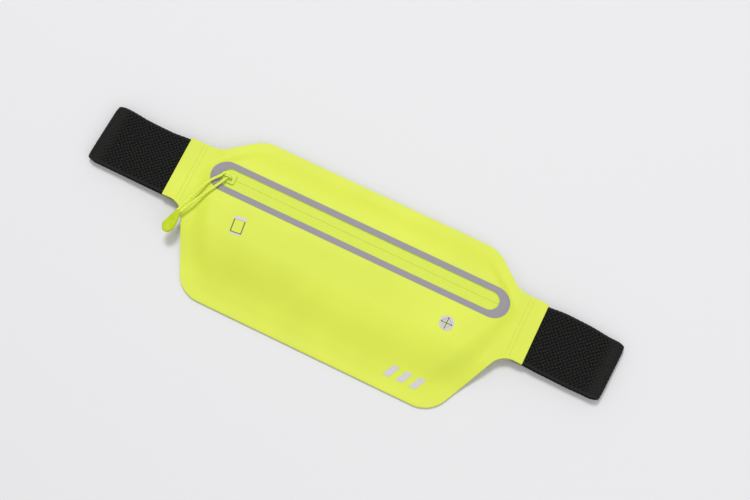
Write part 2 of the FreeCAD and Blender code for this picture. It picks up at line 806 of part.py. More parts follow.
def make_pull():
    feature("pull_cord_loop", tube(LOOP_ROUTE, "loop"))
    strands = [tube(route, name, round_start=True) for name, route in STRAND_ROUTES.items()]
    feature("pull_cord_strands", Part.makeCompound(strands))
    neck = pull_point(size("pull_reach") - size("grip_overlap"), 0.0)
    body = new_body("pull_grip", repr(round(neck.x, 3)), repr(round(neck.y, 3)),
                    "Sizes.cord_height - Sizes.grip_thick / 2", size("grip_angle"))
    sketch = new_sketch(body, "Grip", "XY_Plane")
    add_polygon(sketch, [("0", "-Sizes.grip_neck / 2"),
                         ("Sizes.grip_shoulder", "-Sizes.grip_width / 2"),
                         ("Sizes.grip_length", "-Sizes.grip_tip / 2"),
                         ("Sizes.grip_length", "Sizes.grip_tip / 2"),
                         ("Sizes.grip_shoulder", "Sizes.grip_width / 2"),
                         ("0", "Sizes.grip_neck / 2")])
    block = pad(body, sketch, "Sizes.grip_thick")
    round_edges(body, block, "Sizes.grip_round", lambda edge: True)


# ---------------------------------------------------------------- belt webbing

def ribbon(points, label):
    """Webbing as wide as the belt, along (x, height, bend radius) points of its middle."""
    half = 0.5 * size("webbing")
    spots = [Vector(x, 0, height) for x, height, radius in points]
    runs = []
    for index in range(1, len(spots) - 1):
        runs.append(corner_arc(spots[index - 1], spots[index], spots[index + 1], points[index][2]))
    starts = [spots[0]] + [stop for start, middle, stop in runs]
    stops = [start for start, middle, stop in runs] + [spots[-1]]
    sides = [ribbon_side(starts, stops, runs, spots, offset) for offset in (half, -half)]
    first, second = sides
    caps = [Part.LineSegment(first[0][0], second[0][0]).toShape(),
            Part.LineSegment(first[-1][1], second[-1][1]).toShape()]
    edges = [edge for side in sides for start, stop, edge in side]
    wire = Part.Wire(Part.__sortEdges__(edges + caps))
    width = size("belt_width")
    solid = Part.Face(wire).extrude(ALONG_Y * width)
    solid.translate(ALONG_Y * (size("belt_y") - 0.5 * width))
    return feature(label, solid)


def ribbon_side(starts, stops, runs, spots, offset):
    """The edges of one side of a ribbon, offset from its middle line."""
    edges = []
    for index, (start, stop) in enumerate(zip(starts, stops)):
        run = (spots[index + 1] - spots[index]).normalize()
        shift = Vector(-run.z, 0, run.x) * offset
        if start.distanceToPoint(stop) > 1e-6:
            line = Part.LineSegment(start + shift, stop + shift)
            edges.append((start + shift, stop + shift, line.toShape()))
        if index < len(runs):
            next_run = (spots[index + 2] - spots[index + 1]).normalize()
            next_shift = Vector(-next_run.z, 0, next_run.x) * offset
            begin, middle, end = runs[index]
            bisector = (shift + next_shift).normalize() * abs(offset)
            arc = Part.Arc(begin + shift, middle + bisector, end + next_shift)
            edges.append((begin + shift, end + next_shift, arc.toShape()))
    return edges


def make_strap_fronts():
    """The part of each strap that is sewn into a wing and runs out to the fold."""
    upper = size("fold_height") + size("fold_radius")
    seam_level = size("pack_lift") + size("fabric") + 0.5 * size("wing_gap")
    apex = size("fold_x") - 0.5 * size("webbing")
    bend = size("fold_radius") - size("fold_split")
    broad = size("broad_bend")
    for label, side in (("right_strap_front", 1.0), ("left_strap_front", -1.0)):
        ribbon([(side * size("strap_start_x"), seam_level, 0.0),
                (side * size("seam_run_end_x"), seam_level, broad),
                (side * size("slope_end_x"), upper, broad),
                (side * apex, upper, bend),
                (side * apex, size("fold_height") + size("fold_split"), 0.0)], label)


def make_strap_backs():
    """The part of each strap that runs from the fold back under the pack."""
    apex = size("fold_x") - 0.5 * size("webbing")
    bend = size("fold_radius") - size("fold_split")
    low, wrap = size("lower_run"), size("wrap_radius")
    fold_end = size("fold_height") - size("fold_split")
    under = size("bar_height") - wrap
    over = size("bar_height") + wrap
    hem = under + size("webbing") + size("hem_gap")
    broad, middle = size("broad_bend"), size("middle_bend")
    turn = size("socket_bar_x") + wrap
    ribbon([(-apex, fold_end, 0.0), (-apex, low, bend), (size("socket_lift_start"), low, broad),
            (size("socket_lift_end"), under, broad), (turn, under, wrap), (turn, over, wrap),
            (size("left_hem_drop_start"), over, size("hem_bend")),
            (size("left_hem_drop_end"), hem, size("hem_bend")),
            (size("left_hem_end_x"), hem, 0.0)], "left_strap_back")
    ribbon([(apex, fold_end, 0.0), (apex, low, bend), (size("plug_lift_start"), low, broad),
            (size("plug_lift_end"), size("kept_run"), broad),
            (size("plug_drop_start"), size("kept_run"), middle),
            (size("plug_drop_end"), under, middle), (size("plug_run_end"), under, 0.0)], "right_strap_back")


def make_strap_tail():
    """The right strap's end: round the plug's bar and back along the belt."""
    wrap = size("wrap_radius")
    under = size("bar_height") - wrap
    over = size("bar_height") + wrap
    turn = size("plug_bar_x") - wrap
    ribbon([(size("tail_start_x"), under, 0.0), (turn, under, wrap), (turn, over, wrap),
            (size("tail_drop_start"), over, size("tail_bend")),
            (size("tail_drop_end"), size("tail_run"), size("middle_bend")),
            (size("tail_end_x"), size("tail_run") + size("tail_rise"), 0.0)], "strap_tail")


def stitches(columns, height):
    """Columns of thread bars across the belt, lying on a surface."""
    long, wide, thick = size("stitch_length"), size("stitch_width"), size("stitch_thick")
    bars = []
    for x in columns:
        for index in range(-STITCHES_PER_SIDE, STITCHES_PER_SIDE + 1):
            y = size("belt_y") + size("stitch_step") * index
            corner = Vector(x - 0.5 * wide, y - 0.5 * long, height(x, y) + size("stitch_lift"))
            bars.append(Part.makeBox(wide, long, thick, corner))
    return Part.makeCompound(bars)


def make_stitches():
    """A double row on each wing and two rows on each strap hem."""
    feature("left_wing_stitches", stitches([-x for x in WING_SEAMS], front_top))
    feature("right_wing_stitches", stitches(WING_SEAMS, front_top))
    webbing = size("webbing")
    hem_top = size("bar_height") - size("wrap_radius") + 1.5 * webbing + size("hem_gap")
    feature("left_hem_stitches", stitches(LEFT_HEM_SEAMS, lambda x, y: hem_top))
    tail_top = size("tail_run") + 0.5 * webbing + size("tail_rise")
    feature("tail_hem_stitches", stitches(TAIL_HEM_SEAMS, lambda x, y: tail_top))


# ---------------------------------------------------------------- buckle

def make_socket():
    """Buckle socket: a flat sleeve with two side windows and a bar for its strap."""
    body = new_body("buckle_socket", "Sizes.socket_x", "Sizes.belt_y", "Sizes.buckle_low")
    half = "Sizes.buckle_half"
    plan = new_sketch(body, "SocketPlan", "XY_Plane")
    taper = "Sizes.buckle_taper"
    add_polygon(plan, [("0", "-" + half), ("Sizes.socket_length", "-" + half + " + " + taper),
                       ("Sizes.socket_length", half + " - " + taper), ("0", half)])
    block = pad(body, plan, "Sizes.buckle_thick")
    round_edges(body, block, "Sizes.buckle_round", is_upright)
    slot = new_sketch(body, "SocketSlot", "XY_Plane")
    add_polygon(slot, rectangle("-Sizes.cut_past", "Sizes.socket_slot_end",
                                "-Sizes.strap_window_half", "Sizes.strap_window_half"))
    pocket(body, slot, "2 * (Sizes.buckle_thick + Sizes.cut_past)", both_ways=True)
    bar = new_sketch(body, "SocketBar", "XZ_Plane")
    add_circle(bar, "Sizes.socket_bar_x - Sizes.socket_x", "Sizes.bar_height - Sizes.buckle_low",
               "Sizes.bar_radius")
    pad(body, bar, "2 * (Sizes.strap_window_half + Sizes.cut_past)", both_ways=True)
    cavity = new_sketch(body, "SocketCavity", "XZ_Plane")
    add_polygon(cavity, rectangle("Sizes.socket_length - Sizes.socket_cavity_depth",
                                  "Sizes.socket_length + Sizes.cut_past",
                                  "Sizes.socket_cavity_low - Sizes.buckle_low",
                                  "Sizes.socket_cavity_high - Sizes.buckle_low"))
    pocket(body, cavity, "2 * Sizes.socket_cavity_half", both_ways=True)
    windows = new_sketch(body, "SocketWindows", "XZ_Plane")
    add_polygon(windows, rectangle("Sizes.side_window_start", "Sizes.side_window_end",
                                   "Sizes.socket_cavity_low - Sizes.buckle_low - Sizes.side_window_clear",
                                   "Sizes.socket_cavity_high - Sizes.buckle_low + Sizes.side_window_clear"))
    pocket(body, windows, "2 * (Sizes.buckle_half + Sizes.cut_past)", both_ways=True)


def make_plug_base():
    """Buckle plug: a frame with two strap bars, a body and a guide tongue."""
    body = new_body("plug_base", "Sizes.plug_x", "Sizes.belt_y", "Sizes.buckle_low")
    half = "Sizes.buckle_half"
    plan = new_sketch(body, "PlugPlan", "XY_Plane")
    taper = "Sizes.buckle_taper"
    add_polygon(plan, [("0", "-" + half + " + " + taper), ("Sizes.plug_length", "-" + half),
                       ("Sizes.plug_length", half), ("0", half + " - " + taper)])
    block = pad(body, plan, "Sizes.buckle_thick")
    round_edges(body, block, "Sizes.buckle_round", is_upright)
    slot = new_sketch(body, "PlugSlot", "XY_Plane")
    add_polygon(slot, rectangle("Sizes.plug_slot_start", "Sizes.plug_length + Sizes.cut_past",
                                "-Sizes.strap_window_half", "Sizes.strap_window_half"))
    pocket(body, slot, "2 * (Sizes.buckle_thick + Sizes.cut_past)", both_ways=True)
    bar = new_sketch(body, "PlugBar", "XZ_Plane")
    add_circle(bar, "Sizes.plug_bar_x - Sizes.plug_x", "Sizes.bar_height - Sizes.buckle_low",
               "Sizes.bar_radius")
    pad(body, bar, "2 * (Sizes.strap_window_half + Sizes.cut_past)", both_ways=True)
    rear = new_sketch(body, "PlugRearBar", "XZ_Plane")
    rear_end = "Sizes.plug_length - Sizes.plug_rear_inset"
    add_polygon(rear, rectangle(rear_end + " - Sizes.plug_rear_bar", rear_end,
                                "Sizes.bar_height - Sizes.buckle_low - Sizes.plug_rear_half",
                                "Sizes.bar_height - Sizes.buckle_low + Sizes.plug_rear_half"))
    pad(body, rear, "2 * (Sizes.strap_window_half + Sizes.cut_past)", both_ways=True)
    tongue = new_sketch(body, "PlugTongue", "XY_Plane", "Sizes.latch_low - Sizes.buckle_low")
    root, taper = "Sizes.tongue_root", "Sizes.tongue_taper - Sizes.tongue_length"
    half, tip = "Sizes.tongue_half", "Sizes.tongue_tip_half"
    add_polygon(tongue, [(root, "-" + half), (taper, "-" + half), ("-Sizes.tongue_length", "-" + tip),
                         ("-Sizes.tongue_length", tip), (taper, half), (root, half)])
    pad(body, tongue, "Sizes.latch_high - Sizes.latch_low")


def make_latch_arm(label, sign):
    """A springy arm with a hooked head; it bends at its root when squeezed."""
    body = new_body(label, "Sizes.plug_x - Sizes.latch_gap", "Sizes.belt_y", "Sizes.latch_low")
    sketch = new_sketch(body, label.title().replace("_", ""), "XY_Plane")
    root, head = "Sizes.latch_root_half", "Sizes.latch_head_half"
    half_width = "Sizes.latch_width / 2"
    reach = "Sizes.latch_reach - Sizes.latch_gap"
    outline = [("0", root + " - " + half_width), ("0", root + " + " + half_width),
               ("-Sizes.latch_flare_x", root + " + " + half_width + " + Sizes.latch_flare"),
               ("-Sizes.latch_hook_x", head), ("-Sizes.latch_head_end", head),
               ("-(" + reach + ")", head + " - Sizes.latch_nose_drop"),
               ("-(" + reach + ")", root), ("-Sizes.latch_crotch_x", root)]
    signed = [(across, "%s(%s)" % (sign, along)) for across, along in outline]
    add_polygon(sketch, signed)
    pad(body, sketch, "Sizes.latch_high - Sizes.latch_low")


def make_keeper():
    """Flat ring that holds the strap tail against the belt."""
    body = new_body("strap_keeper", "Sizes.keeper_x", "Sizes.belt_y", "0")
    ring = new_sketch(body, "KeeperRing", "YZ_Plane")
    half, wall = "Sizes.keeper_half", "Sizes.keeper_wall"
    add_polygon(ring, rectangle("-" + half, half, "Sizes.keeper_low", "Sizes.keeper_high"))
    block = pad(body, ring, "Sizes.keeper_width")
    round_edges(body, block, "Sizes.keeper_round", lambda edge: edge.BoundBox.XLength > 1.0)
    hole = new_sketch(body, "KeeperHole", "YZ_Plane")
    add_polygon(hole, rectangle("-" + half + " + " + wall, half + " - " + wall,
                                "Sizes.keeper_low + " + wall, "Sizes.keeper_high - " + wall))
    pocket(body, hole, "2 * (Sizes.keeper_width + Sizes.cut_past)", both_ways=True)


# ---------------------------------------------------------------- build and write

def check_and_write():
    doc.recompute()
    for thing in doc.Objects:
        if "Invalid" in thing.State or "Error" in thing.State:
            raise RuntimeError("%s is %s" % (thing.Label, thing.State))
    for node in nodes:
        if node.Shape.isNull() or not node.Shape.isValid() or not node.Shape.Solids:
            raise RuntimeError("%s has no valid shape" % node.Label)
    os.makedirs("parts", exist_ok=True)
    for node in nodes:
        node.Shape.exportStep("parts/%s.step" % node.Label)
        print("%-22s %3d solids %9.1f mm3" % (node.Label, len(node.Shape.Solids), node.Shape.Volume))


fill_sheet()
make_panels()
make_perimeter_bond()
make_front_films()
make_port()
make_zip_tapes()
make_coils()
make_end_stops()
make_slider()
make_bridge()
make_pull()
make_strap_fronts()
make_strap_backs()
make_strap_tail()
make_stitches()
make_socket()
make_plug_base()
make_latch_arm("latch_arm_front", "-")
make_latch_arm("latch_arm_back", "1 * ")
make_keeper()
check_and_write()
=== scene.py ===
import math
from contextlib import contextmanager

import bmesh
import bpy
import numpy as np
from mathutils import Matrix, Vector


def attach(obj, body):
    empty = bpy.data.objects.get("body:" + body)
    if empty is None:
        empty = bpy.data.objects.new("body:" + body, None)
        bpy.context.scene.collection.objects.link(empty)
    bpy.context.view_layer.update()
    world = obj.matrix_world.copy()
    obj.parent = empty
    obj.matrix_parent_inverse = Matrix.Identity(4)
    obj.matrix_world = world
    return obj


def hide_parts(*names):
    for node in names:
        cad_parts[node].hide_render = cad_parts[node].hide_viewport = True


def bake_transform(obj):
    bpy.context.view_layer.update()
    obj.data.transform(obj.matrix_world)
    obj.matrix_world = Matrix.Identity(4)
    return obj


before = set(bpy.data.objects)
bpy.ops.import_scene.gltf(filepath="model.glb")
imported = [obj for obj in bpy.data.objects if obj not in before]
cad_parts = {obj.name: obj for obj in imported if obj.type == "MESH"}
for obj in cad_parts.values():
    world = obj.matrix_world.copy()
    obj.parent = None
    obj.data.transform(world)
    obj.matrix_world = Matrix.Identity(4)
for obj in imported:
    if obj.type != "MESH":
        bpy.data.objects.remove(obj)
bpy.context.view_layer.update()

# Slim waist pack: fabric panels, films, zip, pull, belt webbing and buckle.
# Lengths in this script are millimetres in the frame of the CAD model; MM turns them into metres.
MM = 0.001

# Driving sizes, the same as the CAD model's.
BODY_HALF = 56.4
NECK_TOP = (106.2, 37.3)
NECK_LOW = (112.8, -4.4)
TOP_CORNER_X = 83.4
BASE_CORNER_X = 87.7
WING_END_X = 126.5
TOP_EDGE = [((0.0, BODY_HALF), 0.0), ((TOP_CORNER_X, BODY_HALF), 21.0), (NECK_TOP, 16.0),
            ((WING_END_X, 37.0), 0.0)]
BASE_EDGE = [((0.0, -BODY_HALF), 0.0), ((BASE_CORNER_X, -BODY_HALF), 20.0), (NECK_LOW, 13.0),
             ((WING_END_X, -4.8), 0.0)]
FABRIC = 0.5
PACK_LIFT = 5.9
LIFT_TOP = 4.0
LIFT_BASE = 0.5
LIFT_FLAT_HALF = 26.0
LIFT_BASE_RUN = 32.0
POCKET_DEPTH = 4.2
EDGE_GAP = 0.3
WING_GAP = 1.6
WING_GAP_START, WING_GAP_RUN = 100.0, 9.0
SEAM_INSET = 5.0
SWELL_END, SWELL_END_RUN = 112.5, 11.5
SWELL_TOP_RUN, SWELL_BASE_RUN = 17.0, 30.0
SWELL_SHOULDER_RUN, SWELL_FLANK_RUN = 6.5, 15.0
FILM = 0.1
FILM_LIFT = 0.05
CUT_EDGE = 0.13
ZIP_LEVEL = PACK_LIFT + FABRIC + POCKET_DEPTH

BELT_Y = 16.0
BELT_HALF = 20.0
WEBBING = 1.5
FOLD_X = 181.0
FOLD_HEIGHT = 3.2
FOLD_RADIUS = 2.45
# Spacing of the weave's knots along and across the belt, depth of its pits, and the belt's rounded rim.
WEAVE_PITCH = (2.9, 2.7)
WEAVE_DEPTH = 0.3
RIM = 0.55
RIM_RIPPLE = 0.06

ZIP_X, ZIP_Y = 0.2, 22.9
WINDOW = (97.6, 6.1)
TRIM = (104.7, 10.1)

PHONE_MARK = (-72.3, -3.0)
PHONE_MARK_TURN = 6.5
# Low corner, high corner and corner radius of the print's inner, middle and outer outlines.
PHONE_MARK_OUTLINES = [((-3.2, -4.35), (3.2, 3.85), 0.25), ((-3.85, -4.95), (3.85, 3.9), 0.4),
                       ((-3.95, -6.05), (3.95, 6.05), 1.0)]
CORNER_MARK = (64.0, -43.0)
BAR_PITCH, BAR_WIDE, BAR_LEAN, BAR_HALF_HIGH = 9.0, 4.5, 4.0, 4.0
PORT_X, PORT_Y = 73.5, -2.1
PORT_RADIUS = 4.75
PORT_HOLE_HALF = 4.0
PORT_CUT_HEIGHTS = (8.0, 14.0)
# Half width of the slit between two petals, and the width of the cut at each petal's narrow corners.
PETAL_SLIT = 0.18
PETAL_CUT = 0.35
PETAL_DOME = 0.22

# The slider's front leg, which the pull turns on.
LEG = (-94.3, 22.9)
CORD_HEIGHT = 13.0
CORD_DIAMETER = 1.8
PULL_ANGLE = math.radians(-115.0)
PULL_REACH = 38.6


# ---- camera, light and floor

VIEW_TARGET = (12.2, 22.15, 4.5)
VIEW_DISTANCE = 842.0
VIEW_ELEVATION = math.radians(76.06)
VIEW_TURN = math.radians(25.87)
VIEW_LENS = 63.456


def add_object(name, data):
    """A new object, linked into the scene."""
    made = bpy.data.objects.new(name, data)
    bpy.context.scene.collection.objects.link(made)
    return made


def make_camera():
    flat = VIEW_DISTANCE * math.cos(VIEW_ELEVATION)
    target = Vector(VIEW_TARGET) * MM
    away = Vector((flat * math.sin(VIEW_TURN), -flat * math.cos(VIEW_TURN),
                   VIEW_DISTANCE * math.sin(VIEW_ELEVATION))) * MM
    data = bpy.data.cameras.new("camera")
    data.lens = VIEW_LENS
    data.sensor_width = 36.0
    data.clip_start = 0.01
    camera = add_object("camera", data)
    camera.location = target + away
    camera.rotation_euler = (-away).to_track_quat("-Z", "Y").to_euler()
    bpy.context.scene.camera = camera


def add_area_light(name, spot, aim, width, depth, power, colour=(1.0, 1.0, 1.0)):
    data = bpy.data.lights.new(name, "AREA")
    data.shape = "RECTANGLE"
    data.size = width
    data.size_y = depth
    data.energy = power
    data.color = colour
    light = add_object(name, data)
    light.location = spot
    light.rotation_euler = (Vector(aim) - Vector(spot)).to_track_quat("-Z", "Y").to_euler()


def make_lights():
    add_area_light("window_light", (-0.6, 1.05, 2.6), (0.0, 0.0, 0.0), 0.76, 0.65, 38.0)
    add_area_light("fill_light", (0.8, -0.35, 1.0), (0.0, 0.0, 0.0), 1.0, 1.0, 2.4)
    world = bpy.data.worlds.new("studio")
    world.use_nodes = True
    background = world.node_tree.nodes["Background"]
    background.inputs["Color"].default_value = (0.98, 0.98, 1.0, 1.0)
    background.inputs["Strength"].default_value = 0.535
    bpy.context.scene.world = world
    bpy.context.scene.view_settings.view_transform = "Standard"


def make_floor():
    mesh = bpy.data.meshes.new("floor")
    half = 2.5
    low = -0.0001
    mesh.from_pydata([(-half, -half, low), (half, -half, low), (half, half, low), (-half, half, low)],
                     [], [(0, 1, 2, 3)])
    mesh.materials.append(new_material("floor_paper", (0.80, 0.80, 0.805), 0.75))
    floor = add_object("floor", mesh)


# ---- materials

def new_material(name, colour, roughness, sheen=0.0, gloss=0.5):
    material = bpy.data.materials.new(name)
    material.use_nodes = True
    shader = material.node_tree.nodes["Principled BSDF"]
    shader.inputs["Base Color"].default_value = (*colour, 1.0)
    shader.inputs["Roughness"].default_value = roughness
    shader.inputs["Specular IOR Level"].default_value = gloss
    shader.inputs["Sheen Weight"].default_value = sheen
    shader.inputs["Sheen Roughness"].default_value = 0.4
    return material


def add_node(material, kind, **settings):
    node = material.node_tree.nodes.new(kind)
    for name, value in settings.items():
        if name in node.inputs:
            node.inputs[name].default_value = value
        else:
            setattr(node, name, value)
    return node


def link(material, start, start_socket, end, end_socket):
    material.node_tree.links.new(start.outputs[start_socket], end.inputs[end_socket])


def add_noise(material, place, scale, detail=3.0):
    noise = add_node(material, "ShaderNodeTexNoise", Scale=scale, Detail=detail)
    link(material, place, "Object", noise, "Vector")
    return noise


def vary_colour(material, noise, dark, bright):
    """Colour runs from dark to bright with a noise."""
    ramp = add_node(material, "ShaderNodeValToRGB")
    ramp.color_ramp.elements[0].position = 0.3
    ramp.color_ramp.elements[0].color = (*dark, 1.0)
    ramp.color_ramp.elements[1].position = 0.7
    ramp.color_ramp.elements[1].color = (*bright, 1.0)
    link(material, noise, "Fac", ramp, "Fac")
    set_colour(material, ramp)


def set_colour(material, source):
    link(material, source, "Color", material.node_tree.nodes["Principled BSDF"], "Base Color")


def multiply_colour(material, source, noise, share):
    """Base colour is the source's colour, darkened here and there by a noise."""
    mottle = add_node(material, "ShaderNodeMixRGB", blend_type="MULTIPLY", Fac=share)
    link(material, source, "Color", mottle, "Color1")
    link(material, noise, "Fac", mottle, "Color2")
    set_colour(material, mottle)


def add_bump(material, source, socket, strength, distance):
    """Adds one bump layer on top of those already there."""
    shader = material.node_tree.nodes["Principled BSDF"]
    bump = add_node(material, "ShaderNodeBump", Strength=strength, Distance=distance)
    link(material, source, socket, bump, "Height")
    below = [one for one in material.node_tree.links if one.to_socket == shader.inputs["Normal"]]
    if below:
        material.node_tree.links.new(below[0].from_socket, bump.inputs["Normal"])
    link(material, bump, "Normal", shader, "Normal")


def add_ribs(material, place, direction, strength, depth, **settings):
    """Bump of straight ribs or yarns across one direction."""
    ribs = add_node(material, "ShaderNodeTexWave", **settings)
    ribs.bands_direction = direction
    link(material, place, "Object", ribs, "Vector")
    add_bump(material, ribs, "Fac", strength, depth)


def tint(colour, share):
    return tuple(channel * share for channel in colour)


def mottled(name, colour, roughness, mottle, **look):
    """A material and its coordinate node; mottle is (scale, detail, dark, bright) of its colour's noise."""
    material = new_material(name, colour, roughness, **look)
    place = add_node(material, "ShaderNodeTexCoord")
    scale, detail, dark, bright = mottle
    vary_colour(material, add_noise(material, place, scale, detail), tint(colour, dark), tint(colour, bright))
    return material, place


def grained(name, colour, roughness, mottle, grain, **look):
    """A plain mottled material; grain is (scale, detail, strength, depth) of its bump's noise."""
    material, place = mottled(name, colour, roughness, mottle, **look)
    scale, detail, strength, depth = grain
    add_bump(material, add_noise(material, place, scale, detail), "Fac", strength, depth)
    return material


def neon_fabric():
    """Coated stretch fabric: a very fine knit under a smooth matt coat."""
    material, place = mottled("neon_fabric", (0.715, 0.81, 0.075), 0.55, (22.0, 2.0, 0.965, 1.03),
                              sheen=0.05, gloss=0.35)
    add_bump(material, add_noise(material, place, 2600.0, 2.0), "Fac", 0.12, 0.0001)
    add_ribs(material, place, "X", 0.06, 0.00008, Scale=260.0, Distortion=0.6, Detail=1.0)
    return material


def knit_tape():
    """Zip tape: a fine knit with ribs along the zip."""
    material, place = mottled("zip_tape_knit", (0.70, 0.82, 0.085), 0.8, (1500.0, 3.0, 0.94, 1.03),
                              sheen=0.25)
    add_ribs(material, place, "Y", 0.35, 0.00012, Scale=420.0, Distortion=1.0, Detail=2.0)
    add_ribs(material, place, "X", 0.2, 0.0001, Scale=300.0, Distortion=1.0, Detail=1.0)
    return material


def reflective_film():
    """Glass-bead reflective film: grey with a faint violet cast and a very fine grain."""
    material, place = mottled("reflective_film", (0.32, 0.30, 0.325), 0.6, (3500.0, 1.0, 0.92, 1.08),
                              gloss=0.2)
    beads = add_node(material, "ShaderNodeTexVoronoi", Scale=5200.0)
    link(material, place, "Object", beads, "Vector")
    add_bump(material, beads, "Distance", 0.15, 0.00004)
    return material


def print_film():
    """Pale silver heat-transfer print."""
    return grained("print_film", (0.66, 0.64, 0.64), 0.5, (1800.0, 2.0, 0.93, 1.05),
                   (4000.0, 3.0, 0.08, 0.00004), gloss=0.3)


def print_shade():
    """The dark border inside the phone print."""
    return grained("print_shade", (0.12, 0.13, 0.025), 0.5, (1800.0, 2.0, 0.85, 1.1),
                   (4000.0, 3.0, 0.08, 0.00004), gloss=0.3)


def port_rubber():
    """Pale silver skin of the port; the slit edges show the lime stock below it."""
    colour = (0.66, 0.61, 0.68)
    material = new_material("port_rubber", colour, 0.5, gloss=0.35)
    place = add_node(material, "ShaderNodeTexCoord")
    skin = shade_by_depth(material, colour, (0.56, 0.68, 0.065))
    multiply_colour(material, skin, add_noise(material, place, 900.0, 2.0), 0.12)
    add_bump(material, add_noise(material, place, 3000.0), "Fac", 0.1, 0.00005)
    return material


def shade_by_depth(material, bright, dark):
    """A colour that runs from bright to dark with the mesh's shade value: painted shade where the webbing and
    threads lie deep, and the lime stock at the port's slit edges.
    """
    depth = add_node(material, "ShaderNodeAttribute", attribute_name="shade")
    ramp = add_node(material, "ShaderNodeValToRGB")
    ramp.color_ramp.elements[0].color = (*bright, 1.0)
    ramp.color_ramp.elements[1].color = (*dark, 1.0)
    link(material, depth, "Fac", ramp, "Fac")
    return ramp


def elastic_webbing():
    """Black birdseye elastic; the knots and pits are in the mesh, the yarns are here. The pits are also painted
    darker as painted shade.
    """
    material = new_material("elastic_webbing", (0.01, 0.01, 0.01), 0.62, gloss=0.06)
    place = add_node(material, "ShaderNodeTexCoord")
    # Painted shade: the colour runs from the yarn's black on the knots to near black deep in the pits.
    depth = shade_by_depth(material, (0.034, 0.035, 0.032), (0.001, 0.001, 0.001))
    multiply_colour(material, depth, add_noise(material, place, 1100.0, 3.0), 0.8)
    add_ribs(material, place, "Y", 0.5, 0.00012, Scale=620.0, Distortion=2.0, Detail=2.0)
    add_bump(material, add_noise(material, place, 3200.0, 3.0), "Fac", 0.35, 0.0001)
    return material


def moulded_plastic():
    """Black acetal with a fine spark-eroded grain."""
    return grained("buckle_plastic", (0.018, 0.018, 0.02), 0.38, (700.0, 2.0, 0.85, 1.25),
                   (2400.0, 2.0, 0.2, 0.00006))


def lacquered_metal():
    """Die-cast slider under a neon lacquer."""
    return grained("slider_lacquer", (0.66, 0.78, 0.09), 0.48, (500.0, 2.0, 0.9, 1.06),
                   (1200.0, 2.0, 0.12, 0.00006), gloss=0.3)


def braided_cord():
    """Braided polyester: two sets of yarns that cross, from the tube's own map."""
    material, place = mottled("pull_cord_braid", (0.82, 0.94, 0.10), 0.72, (1100.0, 3.0, 0.88, 1.05),
                              sheen=0.3, gloss=0.3)
    for turn in (35.0, -35.0):
        mapping = add_node(material, "ShaderNodeMapping", Rotation=(0.0, 0.0, math.radians(turn)))
        link(material, place, "UV", mapping, "Vector")
        yarns = add_node(material, "ShaderNodeTexWave", Scale=3.2, Distortion=0.4)
        link(material, mapping, "Vector", yarns, "Vector")
        add_bump(material, yarns, "Fac", 0.25, 0.0001)
    return material


def soft_rubber():
    """Moulded grip, a deeper yellow-green than the fabric."""
    return grained("grip_rubber", (0.52, 0.64, 0.008), 0.5, (300.0, 2.0, 0.93, 1.05),
                   (2200.0, 3.0, 0.1, 0.00005), gloss=0.2)


def thread(name, colour):
    """Twisted polyester, with painted shade where it dips into the cloth."""
    material = new_material(name, colour, 0.6, sheen=0.2)
    place = add_node(material, "ShaderNodeTexCoord")
    # Painted shade: the thread darkens to 0.3 of its colour at the stitch ends.
    depth = shade_by_depth(material, colour, tint(colour, 0.3))
    set_colour(material, depth)
    add_ribs(material, place, "DIAGONAL", 0.4, 0.00008, Scale=1500.0, Distortion=0.5)
    return material


def nylon_coil():
    return grained("zip_nylon", (0.62, 0.75, 0.10), 0.4, (800.0, 3.0, 0.85, 1.05),
                   (2500.0, 3.0, 0.15, 0.00006))


# ---- mesh helpers

WELD = 0.002


def new_piece(name, points, faces, material):
    """A mesh object from points in millimetres."""
    mesh = bpy.data.meshes.new(name)
    spots = (np.asarray(points, float).reshape(-1, 3) * MM).tolist()
    mesh.from_pydata(spots, [], [tuple(int(one) for one in face) for face in faces])
    mesh.materials.append(material)
    mesh.validate()
    for face in mesh.polygons:
        face.use_smooth = True
    return add_object(name, mesh)


def grid_faces(rows, columns, first=0, wrap_columns=False):
    """Quads of a grid whose points run row by row."""
    faces = []
    for row in range(rows - 1):
        for column in range(columns if wrap_columns else columns - 1):
            beside = (column + 1) % columns
            here, below = first + row * columns, first + (row + 1) * columns
            faces.append([here + column, below + column, below + beside, here + beside])
    return faces


def tube_faces(rings, sides, first=0):
    """Faces of a closed tube with a cap at each end."""
    start, end = range(sides), reversed(range(sides))
    caps = [[first + side for side in start], [first + (rings - 1) * sides + side for side in end]]
    return grid_faces(rings, sides, first=first, wrap_columns=True) + caps


@contextmanager
def edited(piece):
    """The piece's mesh as a bmesh, written back at the end."""
    work = bmesh.new()
    work.from_mesh(piece.data)
    yield work
    work.to_mesh(piece.data)
    work.free()


def evaluated_mesh(piece):
    bpy.context.view_layer.update()
    graph = bpy.context.evaluated_depsgraph_get()
    return bpy.data.meshes.new_from_object(piece.evaluated_get(graph))


def bake_modifiers(piece):
    """Replaces the mesh by the mesh with its modifiers applied."""
    mesh = evaluated_mesh(piece)
    piece.modifiers.clear()
    piece.data = mesh


def tidy_mesh(piece, merge=WELD):
    """Welds doubled points and turns all faces outward."""
    with edited(piece) as work:
        bmesh.ops.remove_doubles(work, verts=work.verts, dist=merge * MM)
        bmesh.ops.recalc_face_normals(work, faces=work.faces)


def thicken(piece, thick, offset=-1.0):
    step = piece.modifiers.new("thick", "SOLIDIFY")
    step.thickness = thick * MM
    step.offset = offset
    step.use_even_offset = False
    bake_modifiers(piece)


def soften_edges(piece, width, segments, angle):
    step = piece.modifiers.new("round", "BEVEL")
    step.width = width * MM
    step.segments = segments
    step.limit_method = "ANGLE"
    step.angle_limit = math.radians(angle)
    step.use_clamp_overlap = True
    step.harden_normals = False
    bake_modifiers(piece)


